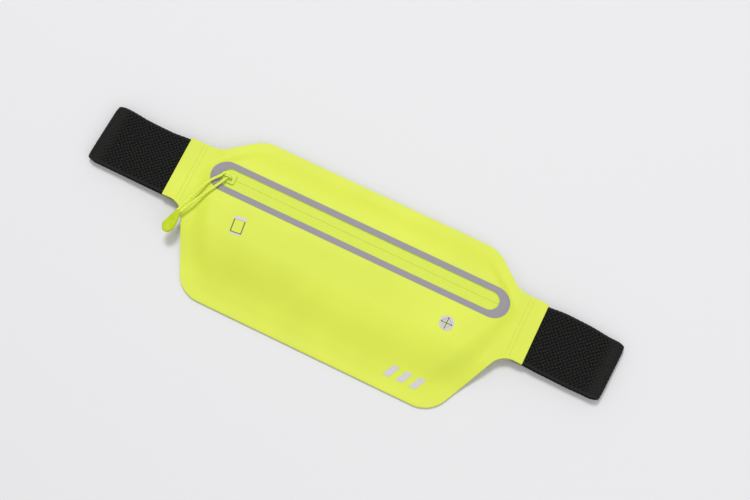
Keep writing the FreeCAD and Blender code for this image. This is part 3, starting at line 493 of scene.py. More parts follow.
def shade_by_angle(piece, degrees):
    """Smooth shading with the edges sharper than an angle kept crisp."""
    for face in piece.data.polygons:
        face.use_smooth = True
    limit = math.radians(degrees)
    with edited(piece) as work:
        for edge in work.edges:
            edge.smooth = len(edge.link_faces) != 2 or edge.calc_face_angle(0.0) < limit


def face_up(piece):
    """Turns an open sheet so that its normals point up."""
    total = sum(face.normal.z * face.area for face in piece.data.polygons)
    if total < 0.0:
        piece.data.flip_normals()


def face_outward(piece):
    with edited(piece) as work:
        bmesh.ops.recalc_face_normals(work, faces=work.faces)


def store_shade(piece, values):
    """Keeps a value per point for the material's ramp: on the webbing and threads how deep the point lies, for
    painted shade; on the petals how near the slit it lies.
    """
    layer = piece.data.attributes.new("shade", "FLOAT", "POINT")
    layer.data.foreach_set("value", np.asarray(values, np.float32).ravel())


def finish_sheet(piece, thick, offset=-1.0, merge=WELD):
    """An open surface becomes a sheet of some thickness: below it at offset -1, above it at 1."""
    tidy_mesh(piece, merge)
    face_up(piece)
    thicken(piece, thick, offset)


def round_edges(piece, width):
    soften_edges(piece, width, 2, 60.0)
    shade_by_angle(piece, 50.0)


def place(piece, body, slot, *nodes):
    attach(piece, body)
    if nodes:
        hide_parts(*nodes)


def refined_copy(node, name, bevel, material, body, slot):
    """A CAD shape with its sharp edges rounded."""
    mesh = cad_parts[node].data.copy()
    mesh.name = name
    mesh.materials.clear()
    mesh.materials.append(material)
    piece = add_object(name, mesh)
    with edited(piece) as work:
        bmesh.ops.remove_doubles(work, verts=work.verts, dist=WELD * MM)
        bmesh.ops.dissolve_limit(work, angle_limit=math.radians(2.0), verts=work.verts, edges=work.edges)
        bmesh.ops.recalc_face_normals(work, faces=work.faces)
        for face in work.faces:
            face.material_index = 0
    soften_edges(piece, bevel, 3, 30.0)
    shade_by_angle(piece, 40.0)
    place(piece, body, slot, node)


def rounded_path(corners, step):
    """Points along straight runs and tangent arcs, from ((a, b), radius) corners."""
    spots = [np.array(corner, float) for corner, radius in corners]
    path = [spots[0]]
    for index in range(1, len(spots) - 1):
        before, corner, after = spots[index - 1:index + 2]
        radius = corners[index][1]
        to_before = (before - corner) / np.linalg.norm(before - corner)
        to_after = (after - corner) / np.linalg.norm(after - corner)
        half = 0.5 * math.acos(np.clip(to_before @ to_after, -1.0, 1.0))
        inward = (to_before + to_after) / np.linalg.norm(to_before + to_after)
        centre = corner + inward * radius / math.sin(half)
        start = corner + to_before * radius / math.tan(half)
        stop = corner + to_after * radius / math.tan(half)
        count = max(3, int(math.ceil(radius * (math.pi - 2.0 * half) / step)) + 1)
        ray, last = start - centre, stop - centre
        side = np.sign(ray[0] * last[1] - ray[1] * last[0])
        for share in np.linspace(0.0, 1.0, count):
            angle = share * (math.pi - 2.0 * half)
            turn = np.array([[math.cos(angle), -side * math.sin(angle)],
                             [side * math.sin(angle), math.cos(angle)]])
            path.append(centre + turn @ ray)
    path.append(spots[-1])
    return np.array(path)


def run_lengths(path):
    """How far along the path each of its points lies."""
    return np.concatenate([[0.0], np.cumsum(np.linalg.norm(np.diff(path, axis=0), axis=1))])


def even_steps(path, step):
    """The path's points spread again at an even spacing."""
    reach = run_lengths(path)
    count = max(2, int(round(reach[-1] / step)) + 1)
    wanted = np.linspace(0.0, reach[-1], count)
    return np.stack([np.interp(wanted, reach, path[:, axis]) for axis in range(path.shape[1])], axis=1)


def unit_tangents(path):
    ahead = np.gradient(path, axis=0)
    return ahead / np.linalg.norm(ahead, axis=1)[:, None]


def level_normals(ahead):
    return np.stack([-ahead[:, 1], ahead[:, 0]], axis=1)


def squared(value, power):
    """Sine or cosine of a superellipse: a low power gives a squarer section."""
    return math.copysign(abs(value) ** power, value)


def circle(count):
    """Evenly spaced angles once round."""
    return np.linspace(0.0, 2.0 * math.pi, count, endpoint=False)


def turned(x, y, angle):
    return x * math.cos(angle) - y * math.sin(angle), x * math.sin(angle) + y * math.cos(angle)


# ---- panel heights

def smooth(share):
    share = np.clip(share, 0.0, 1.0)
    return share * share * (3.0 - 2.0 * share)


def back_under(x, y):
    """Height of the back panel's underside."""
    from_belt = y - BELT_Y
    rise = (from_belt - LIFT_FLAT_HALF) / (BODY_HALF - BELT_Y - LIFT_FLAT_HALF)
    fall = (-from_belt - LIFT_FLAT_HALF) / LIFT_BASE_RUN
    return PACK_LIFT - (PACK_LIFT - LIFT_TOP) * smooth(rise) - (PACK_LIFT - LIFT_BASE) * smooth(fall)


def inside_line(x, y, start, end):
    run = np.array(end) - np.array(start)
    run = run / np.linalg.norm(run)
    return run[0] * (y - start[1]) - run[1] * (x - start[0])


def pocket_gap(x, y):
    """Gap between the two panels: thin at the bonded edge, full in the middle."""
    across = np.abs(x)
    edge = EDGE_GAP + (WING_GAP - EDGE_GAP) * smooth((across - WING_GAP_START) / WING_GAP_RUN)
    shoulder = inside_line(across, y, NECK_TOP, (TOP_CORNER_X, BODY_HALF))
    flank = inside_line(across, y, (BASE_CORNER_X, -BODY_HALF), NECK_LOW)
    swell = (smooth((SWELL_END - across) / SWELL_END_RUN)
             * smooth((BODY_HALF - SEAM_INSET - y) / SWELL_TOP_RUN)
             * smooth((BODY_HALF - SEAM_INSET + y) / SWELL_BASE_RUN)
             * smooth((shoulder - SEAM_INSET) / SWELL_SHOULDER_RUN)
             * smooth((flank - SEAM_INSET) / SWELL_FLANK_RUN))
    return edge + (POCKET_DEPTH - edge) * swell


def front_top(x, y):
    x, y = np.asarray(x, float), np.asarray(y, float)
    return back_under(x, y) + 2.0 * FABRIC + pocket_gap(x, y) + dent(x, y)


def dent(x, y):
    """Height the slack front settles by, read from the cloth run's grid."""
    if settled is None:
        return 0.0 * x
    xs, ys, drop = settled
    across = np.clip((x - xs[0]) / (xs[1] - xs[0]), 0.0, len(xs) - 1.001)
    upward = np.clip((y - ys[0]) / (ys[1] - ys[0]), 0.0, len(ys) - 1.001)
    column, row = across.astype(int), upward.astype(int)
    right, above = smooth(across - column), smooth(upward - row)
    low = drop[row, column] * (1.0 - right) + drop[row, column + 1] * right
    high = drop[row + 1, column] * (1.0 - right) + drop[row + 1, column + 1] * right
    return low * (1.0 - above) + high * above


# The cloth run's field, how far from its sides and ends it fades out, and the dent's limits.
FIELD_X = (-97.0, 97.0)
FIELD_Y = (-49.0, 12.2)
FADE_SIDE, FADE_END = 12.0, 8.0
HELD_BY_PORT = 8.0
DENT_DEEPEST = 0.8
DENT_HIGHEST = 0.35
LAST_FRAME = 20


def run_cloth():
    """Lets the lower front, cut a little too large, fall between its bonded borders.

    Only the fall's shape is kept: its mean is taken off and it is scaled down to the
    fraction of a millimetre a pack lying flat shows. It is never scaled up.
    """
    xs = np.linspace(*FIELD_X, 49)
    ys = np.linspace(*FIELD_Y, 16)
    x, y = np.meshgrid(xs, ys)
    start = front_top(x, y)
    slack = 0.25 * np.sin((0.45 * x + y) / 7.5) + 0.15 * np.sin((x - 1.6 * y) / 13.0)
    fade = edge_fade(x, y)
    points = np.stack([x, y, start + slack * fade], axis=2)
    white = new_material("slack", (1, 1, 1), 0.5)
    piece = new_piece("slack_cloth", points, grid_faces(len(ys), len(xs)), white)
    held = (fade < 0.05) | (np.hypot(x - PORT_X, y - PORT_Y) < HELD_BY_PORT)
    group = piece.vertex_groups.new(name="held")
    group.add([int(one) for one in np.flatnonzero(held.ravel())], 1.0, "REPLACE")
    cloth = piece.modifiers.new("cloth", "CLOTH")
    cloth.settings.quality = 6
    cloth.settings.mass = 0.2
    cloth.settings.tension_stiffness = 12.0
    cloth.settings.compression_stiffness = 12.0
    cloth.settings.shear_stiffness = 4.0
    cloth.settings.bending_stiffness = 0.3
    cloth.settings.vertex_group_mass = "held"
    cloth.settings.shrink_min = -0.02
    cloth.collision_settings.use_collision = False
    cloth.point_cache.frame_start = 1
    cloth.point_cache.frame_end = LAST_FRAME
    scene = bpy.context.scene
    for frame_number in range(1, LAST_FRAME + 1):
        scene.frame_set(frame_number)
        bpy.context.view_layer.update()
    graph = bpy.context.evaluated_depsgraph_get()
    mesh = piece.evaluated_get(graph).to_mesh()
    heights = np.array([vertex.co.z for vertex in mesh.vertices]).reshape(x.shape) / MM
    scene.frame_set(1)
    bpy.data.objects.remove(piece)
    drop = (heights - start) * fade
    drop = drop - drop.mean() * fade
    scale = max(-drop.min() / DENT_DEEPEST, drop.max() / DENT_HIGHEST, 1.0)
    return xs, ys, drop / scale


def edge_fade(x, y):
    """1 in the field, 0 at its borders."""
    from_side = np.minimum(x - FIELD_X[0], FIELD_X[1] - x)
    from_end = np.minimum(y - FIELD_Y[0], FIELD_Y[1] - y)
    return smooth(from_side / FADE_SIDE) * smooth(from_end / FADE_END)


# ---- fabric panels

ROWS_BELOW_ZIP, ROWS_ABOVE_ZIP, BACK_ROWS = 52, 24, 64


def edge_heights(xs):
    """The outline's lower and upper y at each x."""
    top = rounded_path(TOP_EDGE, 0.4)
    base = rounded_path(BASE_EDGE, 0.4)
    across = np.abs(xs)
    return np.interp(across, base[:, 0], base[:, 1]), np.interp(across, top[:, 0], top[:, 1])


def panel_columns():
    """Column places: even, with more at the rounded ends of the zip window."""
    even = np.linspace(-WING_END_X, WING_END_X, 171)
    flat = WINDOW[0] - WINDOW[1]
    near = flat + WINDOW[1] * np.sin(np.linspace(0.0, 0.5 * math.pi, 12))
    tips = np.concatenate([ZIP_X - near, ZIP_X + near])
    keep = [x for x in even if np.min(np.abs(tips - x)) > 0.7 and not flat < abs(x - ZIP_X) < WINDOW[0]]
    return np.array(sorted(keep + list(tips)))


def window_half(xs):
    """Half height of the zip window at each x."""
    into_end = np.abs(xs - ZIP_X) - (WINDOW[0] - WINDOW[1])
    round_part = np.sqrt(np.clip(WINDOW[1] ** 2 - np.clip(into_end, 0.0, WINDOW[1]) ** 2, 0.0, None))
    return np.where(into_end > WINDOW[1], 0.0, round_part)


def zone(xs, low, high, rows, height):
    """Rows of points between two edges, at the heights that height(x, y) gives."""
    share = np.linspace(0.0, 1.0, rows)[:, None]
    y = low[None, :] + (high - low)[None, :] * share
    x = np.repeat(xs[None, :], rows, axis=0)
    return np.stack([x, y, height(x, y)], axis=2)


def flat_areas():
    """Areas of the two flat cuts in square metres; the front lacks the zip window and the port hole."""
    xs = np.linspace(-WING_END_X, WING_END_X, 4001)
    low, high = edge_heights(xs)
    spans = high - low
    outline = (xs[1] - xs[0]) * (spans.sum() - 0.5 * (spans[0] + spans[-1]))
    openings = 2.0 * (xs[1] - xs[0]) * window_half(xs).sum() + 2.0 * PORT_HOLE_HALF ** 2
    return float(outline - openings) * MM ** 2, float(outline) * MM ** 2


def make_front_panel(material):
    xs = panel_columns()
    low, high = edge_heights(xs)
    half = window_half(xs)
    below = zone(xs, low, ZIP_Y - half, ROWS_BELOW_ZIP, front_top)
    above = zone(xs, ZIP_Y + half, high, ROWS_ABOVE_ZIP, front_top)
    points = np.concatenate([below.reshape(-1, 3), above.reshape(-1, 3)])
    faces = grid_faces(ROWS_BELOW_ZIP, len(xs))
    faces += grid_faces(ROWS_ABOVE_ZIP, len(xs), first=ROWS_BELOW_ZIP * len(xs))
    piece = new_piece("front_fabric", points, faces, material)
    finish_sheet(piece, FABRIC)
    cut_port_hole(piece)
    round_edges(piece, CUT_EDGE)
    return piece


def cut_port_hole(piece):
    half = PORT_HOLE_HALF
    ring = [(PORT_X + x, PORT_Y + y) for x, y in ((half, 0.0), (0.0, half), (-half, 0.0), (0.0, -half))]
    points = [(x, y, z) for z in PORT_CUT_HEIGHTS for x, y in ring]
    faces = [(3, 2, 1, 0), (4, 5, 6, 7)]
    faces += [(index, (index + 1) % 4, (index + 1) % 4 + 4, index + 4) for index in range(4)]
    cutter = new_piece("port_cutter", points, faces, piece.data.materials[0])
    step = piece.modifiers.new("port", "BOOLEAN")
    step.object = cutter
    step.operation = "DIFFERENCE"
    step.solver = "EXACT"
    bake_modifiers(piece)
    bpy.data.objects.remove(cutter)


def make_back_panel(material):
    xs = np.linspace(-WING_END_X, WING_END_X, 161)
    low, high = edge_heights(xs)
    grid = zone(xs, low, high, BACK_ROWS, back_under)
    piece = new_piece("back_fabric", grid, grid_faces(BACK_ROWS, len(xs)), material)
    finish_sheet(piece, FABRIC, 1.0)
    round_edges(piece, CUT_EDGE)
    return piece


# ---- films on the front

def film_strip(name, rings, material, closed=True):
    """A film that follows the front; rings are arrays of (x, y) from one side to the other."""
    rings = np.asarray(rings, float)
    x, y = rings[:, :, 0], rings[:, :, 1]
    points = np.stack([x, y, front_top(x, y) + FILM_LIFT + FILM], axis=2)
    faces = grid_faces(points.shape[0], points.shape[1], wrap_columns=closed)
    piece = new_piece(name, points, faces, material)
    finish_sheet(piece, FILM, merge=0.0005)
    shade_by_angle(piece, 50.0)
    return piece


def stadium_ring(half_length, half_height):
    """Points round a slot-shaped outline, as many for every size, so that rings can be joined."""
    flat = half_length - half_height
    turns = np.linspace(-0.5 * math.pi, 0.5 * math.pi, 25)
    right = [(ZIP_X + flat + half_height * math.cos(t), ZIP_Y + half_height * math.sin(t)) for t in turns]
    left = [(ZIP_X - flat - half_height * math.cos(t), ZIP_Y - half_height * math.sin(t)) for t in turns]
    shares = np.linspace(0.0, 1.0, int(TRIM[0] - TRIM[1]))[1:-1]
    top = [(ZIP_X + flat - 2.0 * flat * share, ZIP_Y + half_height) for share in shares]
    base = [(ZIP_X - flat + 2.0 * flat * share, ZIP_Y - half_height) for share in shares]
    return np.array(right + top + left + base)


def make_trim(material):
    longer, higher = TRIM[0] - WINDOW[0], TRIM[1] - WINDOW[1]
    rings = [stadium_ring(WINDOW[0] + longer * share, WINDOW[1] + higher * share)
             for share in np.linspace(0.0, 1.0, 6)]
    return film_strip("reflective_ring", rings, material)


def rounded_rectangle(low, high, radius):
    """Points round a rectangle with rounded corners."""
    points = []
    corners = [(high[0], high[1]), (low[0], high[1]), (low[0], low[1]), (high[0], low[1])]
    for index, (x, y) in enumerate(corners):
        centre = (x - math.copysign(radius, x - 0.5 * (low[0] + high[0])),
                  y - math.copysign(radius, y - 0.5 * (low[1] + high[1])))
        for turn in np.linspace(0.0, 0.5 * math.pi, 6):
            angle = index * 0.5 * math.pi + turn
            points.append((centre[0] + radius * math.cos(angle), centre[1] + radius * math.sin(angle)))
    return np.array(points)


def make_phone_mark(material, dark):
    """Outline of a phone, slightly turned: pale bars above and below, dark sides and sill."""
    rings = []
    for low, high, radius in PHONE_MARK_OUTLINES:
        ring = rounded_rectangle(low, high, radius)
        x, y = turned(ring[:, 0], ring[:, 1], math.radians(PHONE_MARK_TURN))
        rings.append(np.stack([PHONE_MARK[0] + x, PHONE_MARK[1] + y], axis=1))
    return film_strip("phone_outline", rings[1:], material), film_strip("phone_outline_edge", rings[:2], dark)


def make_corner_mark(material):
    """Three plain slanted bars."""
    pieces = []
    half_wide = 0.5 * (2.0 * BAR_PITCH + BAR_WIDE + BAR_LEAN)
    low = CORNER_MARK[1] - BAR_HALF_HIGH
    for index in range(3):
        left = CORNER_MARK[0] - half_wide + BAR_PITCH * index
        rows = []
        for share in np.linspace(0.0, 1.0, 5):
            start, y = left + BAR_LEAN * share, low + 2.0 * BAR_HALF_HIGH * share
            rows.append([(start + BAR_WIDE * step, y) for step in np.linspace(0.0, 1.0, 4)])
        pieces.append(film_strip("corner_bar_%d" % (index + 1), rows, material, closed=False))
    return pieces


def make_port_disc(material):
    """The port's disc, from the diamond hole out to its round edge."""
    turns = circle(64)
    inner = PORT_HOLE_HALF / (np.abs(np.cos(turns)) + np.abs(np.sin(turns)))
    rings = []
    for share in np.linspace(0.0, 1.0, 5):
        radius = inner + (PORT_RADIUS - inner) * share
        rings.append(np.stack([PORT_X + radius * np.cos(turns), PORT_Y + radius * np.sin(turns)], axis=1))
    return film_strip("port_disc", rings, material)


def make_petal(index, material):
    """One of the four petals that close the port: slightly domed, its two narrow corners cut off."""
    turn = 0.5 * math.pi * index
    reach = (PORT_HOLE_HALF - 0.1) / math.sqrt(2.0)
    widest = reach - math.sqrt(2.0) * PETAL_SLIT
    points = []
    edges = []
    for inward in np.linspace(0.0, widest, 19):
        half_width = min(widest - inward, widest - PETAL_CUT)
        for share in np.linspace(-1.0, 1.0, 25):
            x = (reach - inward + half_width * share) / math.sqrt(2.0)
            y = (reach - inward - half_width * share) / math.sqrt(2.0)
            from_slit = min(x, y) - PETAL_SLIT
            dome = PETAL_DOME * smooth(min(from_slit, inward) / 0.7)
            x, y = turned(x, y, turn)
            points.append((PORT_X + x, PORT_Y + y, ZIP_LEVEL + FABRIC + dome))
            edges.append(smooth(1.4 - 4.0 * from_slit))
    piece = new_piece("petal_%d" % (index + 1), points, grid_faces(19, 25), material)
    store_shade(piece, edges)
    finish_sheet(piece, FABRIC)
    round_edges(piece, 0.1)
    return piece


# ---- pull cord and grip

# Route of the whole cord, (along the pull, across it) from the slider's front leg.
CORD_ROUTE = [(38.6, -0.95), (28.5, -2.0), (19.0, -3.2), (9.5, -3.9), (3.0, -1.85), (-1.85, -1.85),
              (-1.85, 1.85), (3.0, 1.85), (11.5, 1.5), (21.0, 1.0), (30.0, 0.95), (38.6, 0.95)]


# The braid's turns along the cord (radians per millimetre) and the depth of its grooves, a share of the radius.
BRAID_WIND = 2.4
BRAID_DEPTH = 0.035


def pull_point(along, across):
    """A point of the pull's own plane, in the pack's frame, in metres."""
    x, y = turned(along, across, PULL_ANGLE)
    return Vector((LEG[0] + x, LEG[1] + y, CORD_HEIGHT)) * MM


def cord_line(route):
    """Points along the NURBS spline of the route."""
    data = bpy.data.curves.new("cord_line", "CURVE")
    data.dimensions = "3D"
    spline = data.splines.new("NURBS")
    spline.points.add(len(route) - 1)
    for point, (along, across) in zip(spline.points, route):
        point.co = (*pull_point(along, across), 1.0)
    spline.order_u = 3
    spline.use_endpoint_u = True
    spline.resolution_u = 12
    holder = add_object("cord_line", data)
    mesh = evaluated_mesh(holder)
    path = np.array([tuple(vertex.co) for vertex in mesh.vertices])
    bpy.data.objects.remove(holder)
    bpy.data.meshes.remove(mesh)
    return path


def make_cord(material):
    path = even_steps(cord_line(CORD_ROUTE), 0.35 * MM)
    sides = 16
    count = len(path)
    ahead = unit_tangents(path)
    beside = np.cross(ahead, np.array([0.0, 0.0, 1.0]))
    beside /= np.linalg.norm(beside, axis=1)[:, None]
    upward = np.cross(beside, ahead)
    turns = circle(sides)
    radius = 0.5 * CORD_DIAMETER * MM
    reach = run_lengths(path)
    points = np.zeros((count, sides, 3))
    for index, turn in enumerate(turns):
        wound = reach / MM * BRAID_WIND
        braid = 1.0 - BRAID_DEPTH * np.abs(np.sin(wound + 2.0 * turn) * np.sin(wound - 2.0 * turn))
        ring = math.cos(turn) * beside + math.sin(turn) * upward
        points[:, index] = path + ring * (radius * braid)[:, None]
    piece = new_piece("pull_cord", points / MM, tube_faces(count, sides), material)
    add_tube_map(piece, count, sides, reach[-1] / CORD_DIAMETER / MM)
    return piece, path


def add_tube_map(piece, count, sides, turns_long):
    """A UV map: around the tube and along it, in diameters."""
    layer = piece.data.uv_layers.new(name="tube")
    for face in piece.data.polygons:
        for corner, vertex in zip(face.loop_indices, face.vertices):
            around = (vertex % sides) / sides * math.pi
            along = (vertex // sides) / (count - 1) * turns_long
            layer.data[corner].uv = (around, along)


GRIP_TURN = math.radians(-98.0)
GRIP_HALF_WIDTHS = [(0.0, 1.45), (0.35, 1.7), (3.0, 2.3), (6.0, 2.95), (9.0, 3.6), (11.0, 4.0), (11.8, 4.1),
                    (12.6, 3.8), (14.1, 3.0), (15.2, 2.25), (15.65, 1.85), (15.8, 1.4)]
GRIP_HALF_THICK = 1.4
GRIP_END_ROUND = 0.6
GRIP_HOLLOW = 0.22
GRIP_POWER = 0.42
CORD_IN_GRIP = 1.2


def make_grip(material):
    """A tapered hexagonal tab with rounded edges and a shallow thumb hollow."""
    neck = pull_point(PULL_REACH - CORD_IN_GRIP, 0.0) / MM
    ahead = np.array([math.cos(GRIP_TURN), math.sin(GRIP_TURN)])
    beside = np.array([-ahead[1], ahead[0]])
    profile = np.array(GRIP_HALF_WIDTHS)
    along = np.linspace(0.0, profile[-1, 0], 60)
    widths = np.interp(along, profile[:, 0], profile[:, 1])
    sides = 40
    turns = circle(sides)
    points = []
    for reach, half_width in zip(along, widths):
        end_share = min(1.0, reach / GRIP_END_ROUND, (profile[-1, 0] - reach) / GRIP_END_ROUND)
        half_thick = GRIP_HALF_THICK * (0.75 + 0.25 * math.sqrt(max(0.0, 1.0 - (1.0 - end_share) ** 2)))
        hollow = GRIP_HOLLOW * smooth((reach - 5.0) / 3.0) * smooth((14.2 - reach) / 3.0)
        for turn in turns:
            across = half_width * squared(math.cos(turn), GRIP_POWER)
            lift = half_thick * squared(math.sin(turn), GRIP_POWER)
            lift *= 1.0 - hollow / half_thick * smooth(1.0 - abs(across) / max(half_width - 0.6, 0.1)) * 1.6
            spot = np.array(neck[:2]) + ahead * reach + beside * across
            points.append((spot[0], spot[1], neck[2] + lift))
    piece = new_piece("grip_tab", points, tube_faces(len(along), sides), material)
    tidy_mesh(piece)
    shade_by_angle(piece, 45.0)
    return piece


# ---- belt webbing

def weave(along, across):
    """Depth of the birdseye weave: 0 on its staggered knots, 1 in the pits between them."""
    drift = 0.5 * np.sin(0.31 * along + 1.1 * across) + 0.4 * np.sin(0.83 * along - 0.47 * across)
    a = 2.0 * math.pi * along / WEAVE_PITCH[0] + drift
    b = 2.0 * math.pi * across / WEAVE_PITCH[1] + 0.5 * np.sin(0.57 * along)
    return smooth(0.5 + (0.7 + 0.25 * np.sin(1.7 * along + 0.9 * across)) * np.cos(a) * np.cos(b))


def webbing(name, route, material, step=0.5, side=0.0, start_along=0.0):
    """Woven strap along (x, height) corners with bend radii; pits and edges are in the mesh, and the pits'
    depth is kept for their painted shade.
    """
    path = even_steps(rounded_path(route, 0.12), step)
    along = start_along + run_lengths(path)
    normal = level_normals(unit_tangents(path))
    flat = np.linspace(-1.0, 1.0, 84)
    rim = np.linspace(0.5 * math.pi, -0.5 * math.pi, 7)[1:-1]
    section = [(share, 1.0, 0.0) for share in flat]
    section += [(1.0, math.sin(turn), math.cos(turn)) for turn in rim]
    section += [(share, -1.0, 0.0) for share in flat[::-1]]
    section += [(-1.0, -math.sin(turn), -math.cos(turn)) for turn in rim]
    count, sides = len(path), len(section)
    points = np.zeros((count, sides, 3))
    pits = np.zeros((count, sides))
    near_fold = smooth((np.abs(path[:, 0]) - 168.0) / 8.0)
    for index, (share, lift, bulge) in enumerate(section):
        across = share * (BELT_HALF - RIM) + bulge * RIM
        pit = weave(along, across) * smooth((BELT_HALF - 1.0 - np.abs(across)) / 0.8) * abs(lift)
        pit = pit * (1.0 - 0.6 * near_fold)
        ripple = RIM_RIPPLE * np.cos(2.0 * math.pi * along / WEAVE_PITCH[0]) * abs(bulge)
        offset = lift * (0.5 * WEBBING - WEAVE_DEPTH * pit)
        points[:, index, 0] = path[:, 0] + normal[:, 0] * offset
        points[:, index, 1] = BELT_Y + across + math.copysign(1.0, bulge) * ripple
        points[:, index, 2] = path[:, 1] + normal[:, 1] * offset
        pits[:, index] = pit
    points = settle_strap(points, side)
    piece = new_piece(name, points, tube_faces(count, sides), material)
    # The pits' depth, for the material's painted shade in them.
    store_shade(piece, pits)
    face_outward(piece)
    shade_by_angle(piece, 60.0)
    return piece, along[-1]


CORNER_RUN = 6.5


def settle_strap(points, side):
    """The slack the real belt lies with: a skewed fold, a lifted edge and corners drawn in."""
    if side == 0.0:
        return points
    x, y, z = points[:, :, 0], points[:, :, 1], points[:, :, 2]
    from_middle = np.abs(x)
    across = (y - BELT_Y) / BELT_HALF
    # Each runs from 0 to 1: towards the fold, on the open run, at the fold's corners, on the upper run.
    share = smooth((from_middle - 136.0) / 42.0)
    middle = smooth((from_middle - 126.0) / 14.0) * smooth((172.0 - from_middle) / 16.0)
    corner = smooth((from_middle - (FOLD_X - CORNER_RUN)) / CORNER_RUN)
    upper = smooth((z - 1.6) / 3.0)
    # Millimetres: the fold's reach outward, its shift along y, how much narrower, and the lift of one edge.
    if side < 0.0:
        reach = 0.9 - 1.3 * across
        shift = 0.5 * share - 0.4 * middle
        narrow = 0.45 * middle - 0.25 * share
        lift = 0.7 * (1.0 + across)
    else:
        reach = -1.3 + 0.85 * across
        shift = -0.8 * share
        narrow = -0.5 * middle * (1.0 + smooth(across))
        lift = 0.5 * (1.0 - across)
    pulled = corner * np.abs(across) ** 6 * 0.8
    reach = share * reach - 0.9 * corner * np.abs(across) ** 10
    new_x = x + side * reach
    new_y = y + shift - across * (narrow + pulled)
    return np.stack([new_x, new_y, z + upper * share * lift], axis=2)


# Heights of the belt's lower runs, how the straps go round the buckle's bars, and their bend radii.
LOWER_RUN = 0.75
KEPT_RUN = 1.65
TAIL_RUN = 3.4
BAR_HEIGHT = 2.8
WRAP = 1.65
SOCKET_BAR_X, PLUG_BAR_X = -44.5, 35.0
PLUG_RUN_END = 46.15
HEM_GAP = 0.05
BROAD_BEND, MIDDLE_BEND, TAIL_BEND, HEM_BEND = 40.0, 20.0, 6.0, 4.0


def strap_routes():
    """Corners ((x, height), bend radius) of each strap's runs."""
    upper = FOLD_HEIGHT + FOLD_RADIUS
    seam = PACK_LIFT + FABRIC + 0.5 * WING_GAP
    apex = FOLD_X - 0.5 * WEBBING
    low, wrap, broad, middle = LOWER_RUN, WRAP, BROAD_BEND, MIDDLE_BEND
    under, over = BAR_HEIGHT - wrap, BAR_HEIGHT + wrap
    bend = FOLD_RADIUS - 0.01
    fold = [((112.0, seam), 0.0), ((133.0, seam), broad), ((161.0, upper), broad), ((apex, upper), bend),
            ((apex, low), bend), ((104.0, low), 0.0)]
    left = [((-x, height), radius) for (x, height), radius in fold]
    turn = SOCKET_BAR_X + wrap
    hem = under + WEBBING + HEM_GAP
    to_socket = [((-104.0, low), 0.0), ((-92.0, low), broad), ((-80.0, under), broad),
                 ((turn, under), wrap), ((turn, over), wrap), ((-51.0, over), HEM_BEND),
                 ((-59.0, hem), HEM_BEND), ((-74.0, hem), 0.0)]
    to_plug = [((104.0, low), 0.0), ((102.0, low), broad), ((91.0, KEPT_RUN), broad),
               ((61.0, KEPT_RUN), middle), ((53.0, under), middle), ((PLUG_RUN_END, under), 0.0)]
    turn = PLUG_BAR_X - wrap
    tail = [((PLUG_RUN_END, under), 0.0), ((turn, under), wrap), ((turn, over), wrap),
            ((47.0, over), TAIL_BEND), ((56.0, TAIL_RUN), middle), ((105.0, TAIL_RUN), 0.0)]
    return {"right_fold": fold, "left_fold": left, "to_socket": to_socket, "to_plug": to_plug, "tail": tail}


def make_straps(material):
    routes = strap_routes()
    for side, name in ((1.0, "right"), (-1.0, "left")):
        piece, length = webbing(name + "_fold_webbing", routes[name + "_fold"], material, 0.42, side)
        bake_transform(piece)
        if side > 0:
            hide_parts("right_strap_front")
            onward, total = webbing("right_run_webbing", routes["to_plug"], material, start_along=length)
            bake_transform(onward)
            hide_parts("right_strap_back")
            tail, total = webbing("tail_webbing", routes["tail"], material, start_along=total)
            place(tail, "buckle_plug", "elastic_webbing", "strap_tail")
        else:
            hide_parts("left_strap_front")
            onward, total = webbing("left_run_webbing", routes["to_socket"], material, start_along=length)
            place(onward, "left_belt", "elastic_webbing", "left_strap_back")


# ---- stitches

WING_SEAMS, LEFT_HEM_SEAMS, TAIL_HEM_SEAMS = (114.4, 117.1), (-66.0, -71.0), (99.0, 102.5)
STITCH_PITCH = 3.0
STITCH_LENGTH, STITCH_WIDE, STITCH_THICK = 2.2, 0.3, 0.08


def stitch_mesh(name, spots, height, material):
    """Rows of thread bars that dip into the cloth at both ends, with those ends marked for painted shade."""
    length, wide, thick = STITCH_LENGTH, STITCH_WIDE, STITCH_THICK
    rings, sides = 9, 8
    points = []
    shades = []
    faces = []
    for x, y in spots:
        first = len(points)
        for step in np.linspace(-1.0, 1.0, rings):
            arch = math.sqrt(max(0.0, 1.0 - step ** 4))
            base = float(height(x, y + 0.5 * length * step)) - 0.5 * thick
            for turn in circle(sides):
                across = 0.5 * wide * (0.55 + 0.45 * arch) * math.cos(turn)
                lift = thick * arch + 0.5 * thick * math.sin(turn) + 0.02
                points.append((x + across, y + 0.5 * length * step, base + lift))
                # Painted shade in the needle holes: the outer part of each bar at both ends is marked dark.
                shades.append(smooth((abs(step) - 0.6) / 0.3))
        faces += tube_faces(rings, sides, first)
    piece = new_piece(name, points, faces, material)
    store_shade(piece, shades)
    face_outward(piece)
    return piece


def make_stitches(neon, black):
    steps = [BELT_Y + STITCH_PITCH * index for index in range(-6, 7)]
    for name, side in (("left", -1.0), ("right", 1.0)):
        spots = [(side * x, y) for x in WING_SEAMS for y in steps]
        piece = stitch_mesh(name + "_wing_thread", spots, front_top, neon)
        place(piece, "pack", "neon_thread", name + "_wing_stitches")
    hem_top = BAR_HEIGHT - WRAP + 1.5 * WEBBING + HEM_GAP
    spots = [(x, y) for x in LEFT_HEM_SEAMS for y in steps]
    piece = stitch_mesh("left_hem_thread", spots, lambda x, y: hem_top, black)
    place(piece, "left_belt", "black_thread", "left_hem_stitches")
    tail_top = TAIL_RUN + 0.5 * WEBBING
    spots = [(x, y) for x in TAIL_HEM_SEAMS for y in steps]
    piece = stitch_mesh("tail_hem_thread", spots, lambda x, y: tail_top, black)
    place(piece, "buckle_plug", "black_thread", "tail_hem_stitches")


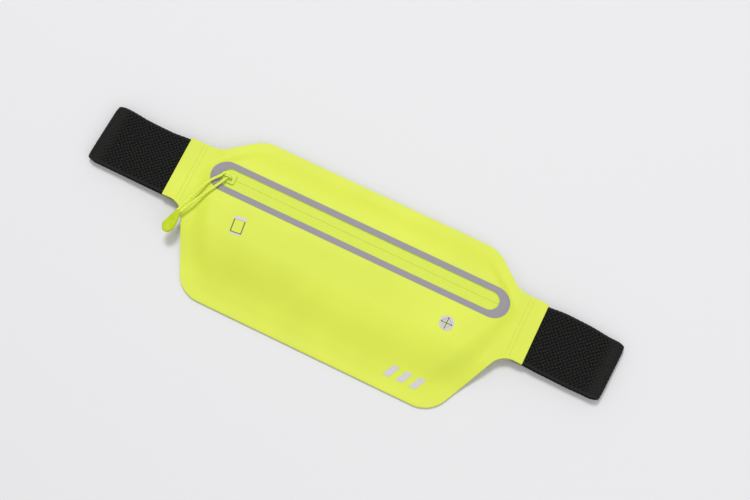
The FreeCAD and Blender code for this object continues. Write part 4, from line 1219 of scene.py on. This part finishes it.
# ---- put together

def make_pack():
    fabric = neon_fabric()
    front = make_front_panel(fabric)
    place(front, "pack", "neon_fabric", "front_panel")
    back = make_back_panel(fabric)
    place(back, "pack", "neon_fabric", "back_panel")
    front_area, back_area = flat_areas()
    place(make_trim(reflective_film()), "pack", "reflective_film", "reflective_trim")
    film = print_film()
    outline, edge = make_phone_mark(film, print_shade())
    place(outline, "pack", "print_film", "phone_mark")
    place(edge, "pack", "print_film")
    bars = make_corner_mark(film)
    for bar in bars:
        place(bar, "pack", "print_film")
    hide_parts("corner_mark")
    place(make_port_disc(port_rubber()), "pack", "print_film", "port_ring")


def paint_node(node, material):
    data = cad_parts[node].data
    data.materials.clear()
    data.materials.append(material)
    for face in data.polygons:
        face.material_index = 0


# Half length and half height of the two tapes, their parting where the slider rests, and their lips.
TAPE = (100.0, 8.5)
TAPE_PARTING, PARTING_RUN = 0.3, 6.0
TAPE_THICK = 0.4
LIP_DROP = 0.2
LIP_RIDGE = 0.05
TAPE_ROWS = (0.03, 0.07, 0.16, 0.34, 0.6, 0.9, 1.3, 1.9, 2.8, 4.0, 5.4, 6.8, 7.8, 8.5)


def make_tape(name, side, material):
    """One knitted tape whose rounded lip meets the other tape's over the coil."""
    flat = TAPE[0] - TAPE[1]
    near = flat + TAPE[1] * np.sin(np.linspace(0.0, 0.495 * math.pi, 14))
    xs = np.concatenate([-near[::-1], np.linspace(-flat, flat, 150)[1:-1], near])
    into_end = np.clip(np.abs(xs) - flat, 0.0, TAPE[1])
    share = np.sqrt(TAPE[1] ** 2 - into_end ** 2) / TAPE[1]
    open_by = TAPE_PARTING * smooth(1.0 - np.abs(xs + ZIP_X - LEG[0]) / PARTING_RUN)
    top = ZIP_LEVEL - 0.02 - FILM
    rows = []
    for row in TAPE_ROWS:
        lip = 1.0 - min((row - TAPE_ROWS[0]) / 0.8, 1.0)
        ridge = LIP_RIDGE * float(smooth(1.6 - abs(row - 1.0)))
        height = top - LIP_DROP * (1.0 - math.sqrt(1.0 - lip ** 2)) + ridge
        y = ZIP_Y + side * (row + open_by * float(smooth(1.6 - row))) * share
        rows.append(np.stack([xs + ZIP_X, y, np.full_like(xs, height)], axis=1))
    piece = new_piece(name, np.array(rows), grid_faces(len(rows), len(xs)), material)
    face_up(piece)
    thicken(piece, TAPE_THICK)
    shade_by_angle(piece, 60.0)
    return piece


REAR_LEG_X = -90.2
BRIDGE_BEND = 0.65
BRIDGE_POWER = 0.75


def make_bridge(material):
    """The slider's arch: a round front leg that carries the cord, a flat bar and a rear leg."""
    base = ZIP_LEVEL + 1.0
    top = CORD_HEIGHT + 1.5
    front, rear = LEG[0], REAR_LEG_X
    bend = BRIDGE_BEND
    route = [((front, base), 0.0), ((front, top), bend), ((rear, top), bend), ((rear, base), 0.0)]
    path = even_steps(rounded_path(route, 0.1), 0.16)
    # Half thickness and half width: round on the legs, flat on the bar.
    ahead = unit_tangents(path)
    normal = level_normals(ahead)
    flatness = np.abs(ahead[:, 0])
    rear_share = smooth((path[:, 0] - front - 1.0) / 2.0)
    thick = (0.68 - 0.16 * rear_share) * (1.0 - flatness) + 0.42 * flatness
    wide = (0.68 - 0.1 * rear_share) * (1.0 - flatness) + 0.78 * flatness
    sides = 20
    points = np.zeros((len(path), sides, 3))
    for index, turn in enumerate(circle(sides)):
        lift = squared(math.sin(turn), BRIDGE_POWER) * thick
        points[:, index, 0] = path[:, 0] + normal[:, 0] * lift
        points[:, index, 1] = LEG[1] + squared(math.cos(turn), BRIDGE_POWER) * wide
        points[:, index, 2] = path[:, 1] + normal[:, 1] * lift
    piece = new_piece("slider_arch", points, tube_faces(len(path), sides), material)
    face_outward(piece)
    shade_by_angle(piece, 60.0)
    return piece


def make_zip():
    tape = knit_tape()
    coil = nylon_coil()
    place(make_tape("upper_tape", 1.0, tape), "pack", "zip_tape", "zip_tape_upper")
    place(make_tape("lower_tape", -1.0, tape), "pack", "zip_tape", "zip_tape_lower")
    for node in ("zip_coil_upper", "zip_coil_lower", "zip_end_stops"):
        paint_node(node, coil)
    for node in ("zip_bond_film", "perimeter_bond"):
        paint_node(node, tape)
    lacquer = lacquered_metal()
    refined_copy("slider_body", "slider_casting", 0.16, lacquer, "zip_slider", "slider_metal")
    place(make_bridge(lacquer), "zip_slider", "slider_metal", "slider_bridge")
    rubber = port_rubber()
    for index in range(4):
        body = "port_petal_%d" % (index + 1)
        place(make_petal(index, rubber), body, "port_rubber", body)


def make_pull():
    cord, path = make_cord(braided_cord())
    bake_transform(cord)
    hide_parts("pull_cord_loop", "pull_cord_strands")
    grip = make_grip(soft_rubber())
    place(grip, "pull_strands", "grip_rubber", "pull_grip")


def make_buckle():
    plastic = moulded_plastic()
    for node, name, bevel, body in (("buckle_socket", "socket_shell", 0.45, "left_belt"),
                                    ("plug_base", "plug_frame", 0.4, "buckle_plug"),
                                    ("latch_arm_front", "latch_front_arm", 0.3, "latch_front"),
                                    ("latch_arm_back", "latch_back_arm", 0.3, "latch_back"),
                                    ("strap_keeper", "keeper_ring", 0.15, "belt_keeper")):
        refined_copy(node, name, bevel, plastic, body, "buckle_plastic")


make_camera()
settled = None
settled = run_cloth()
make_pull()
make_pack()
make_zip()
make_straps(elastic_webbing())
make_stitches(thread("neon_thread", (0.70, 0.82, 0.10)), thread("black_thread", (0.02, 0.02, 0.02)))
make_buckle()
make_lights()
make_floor()
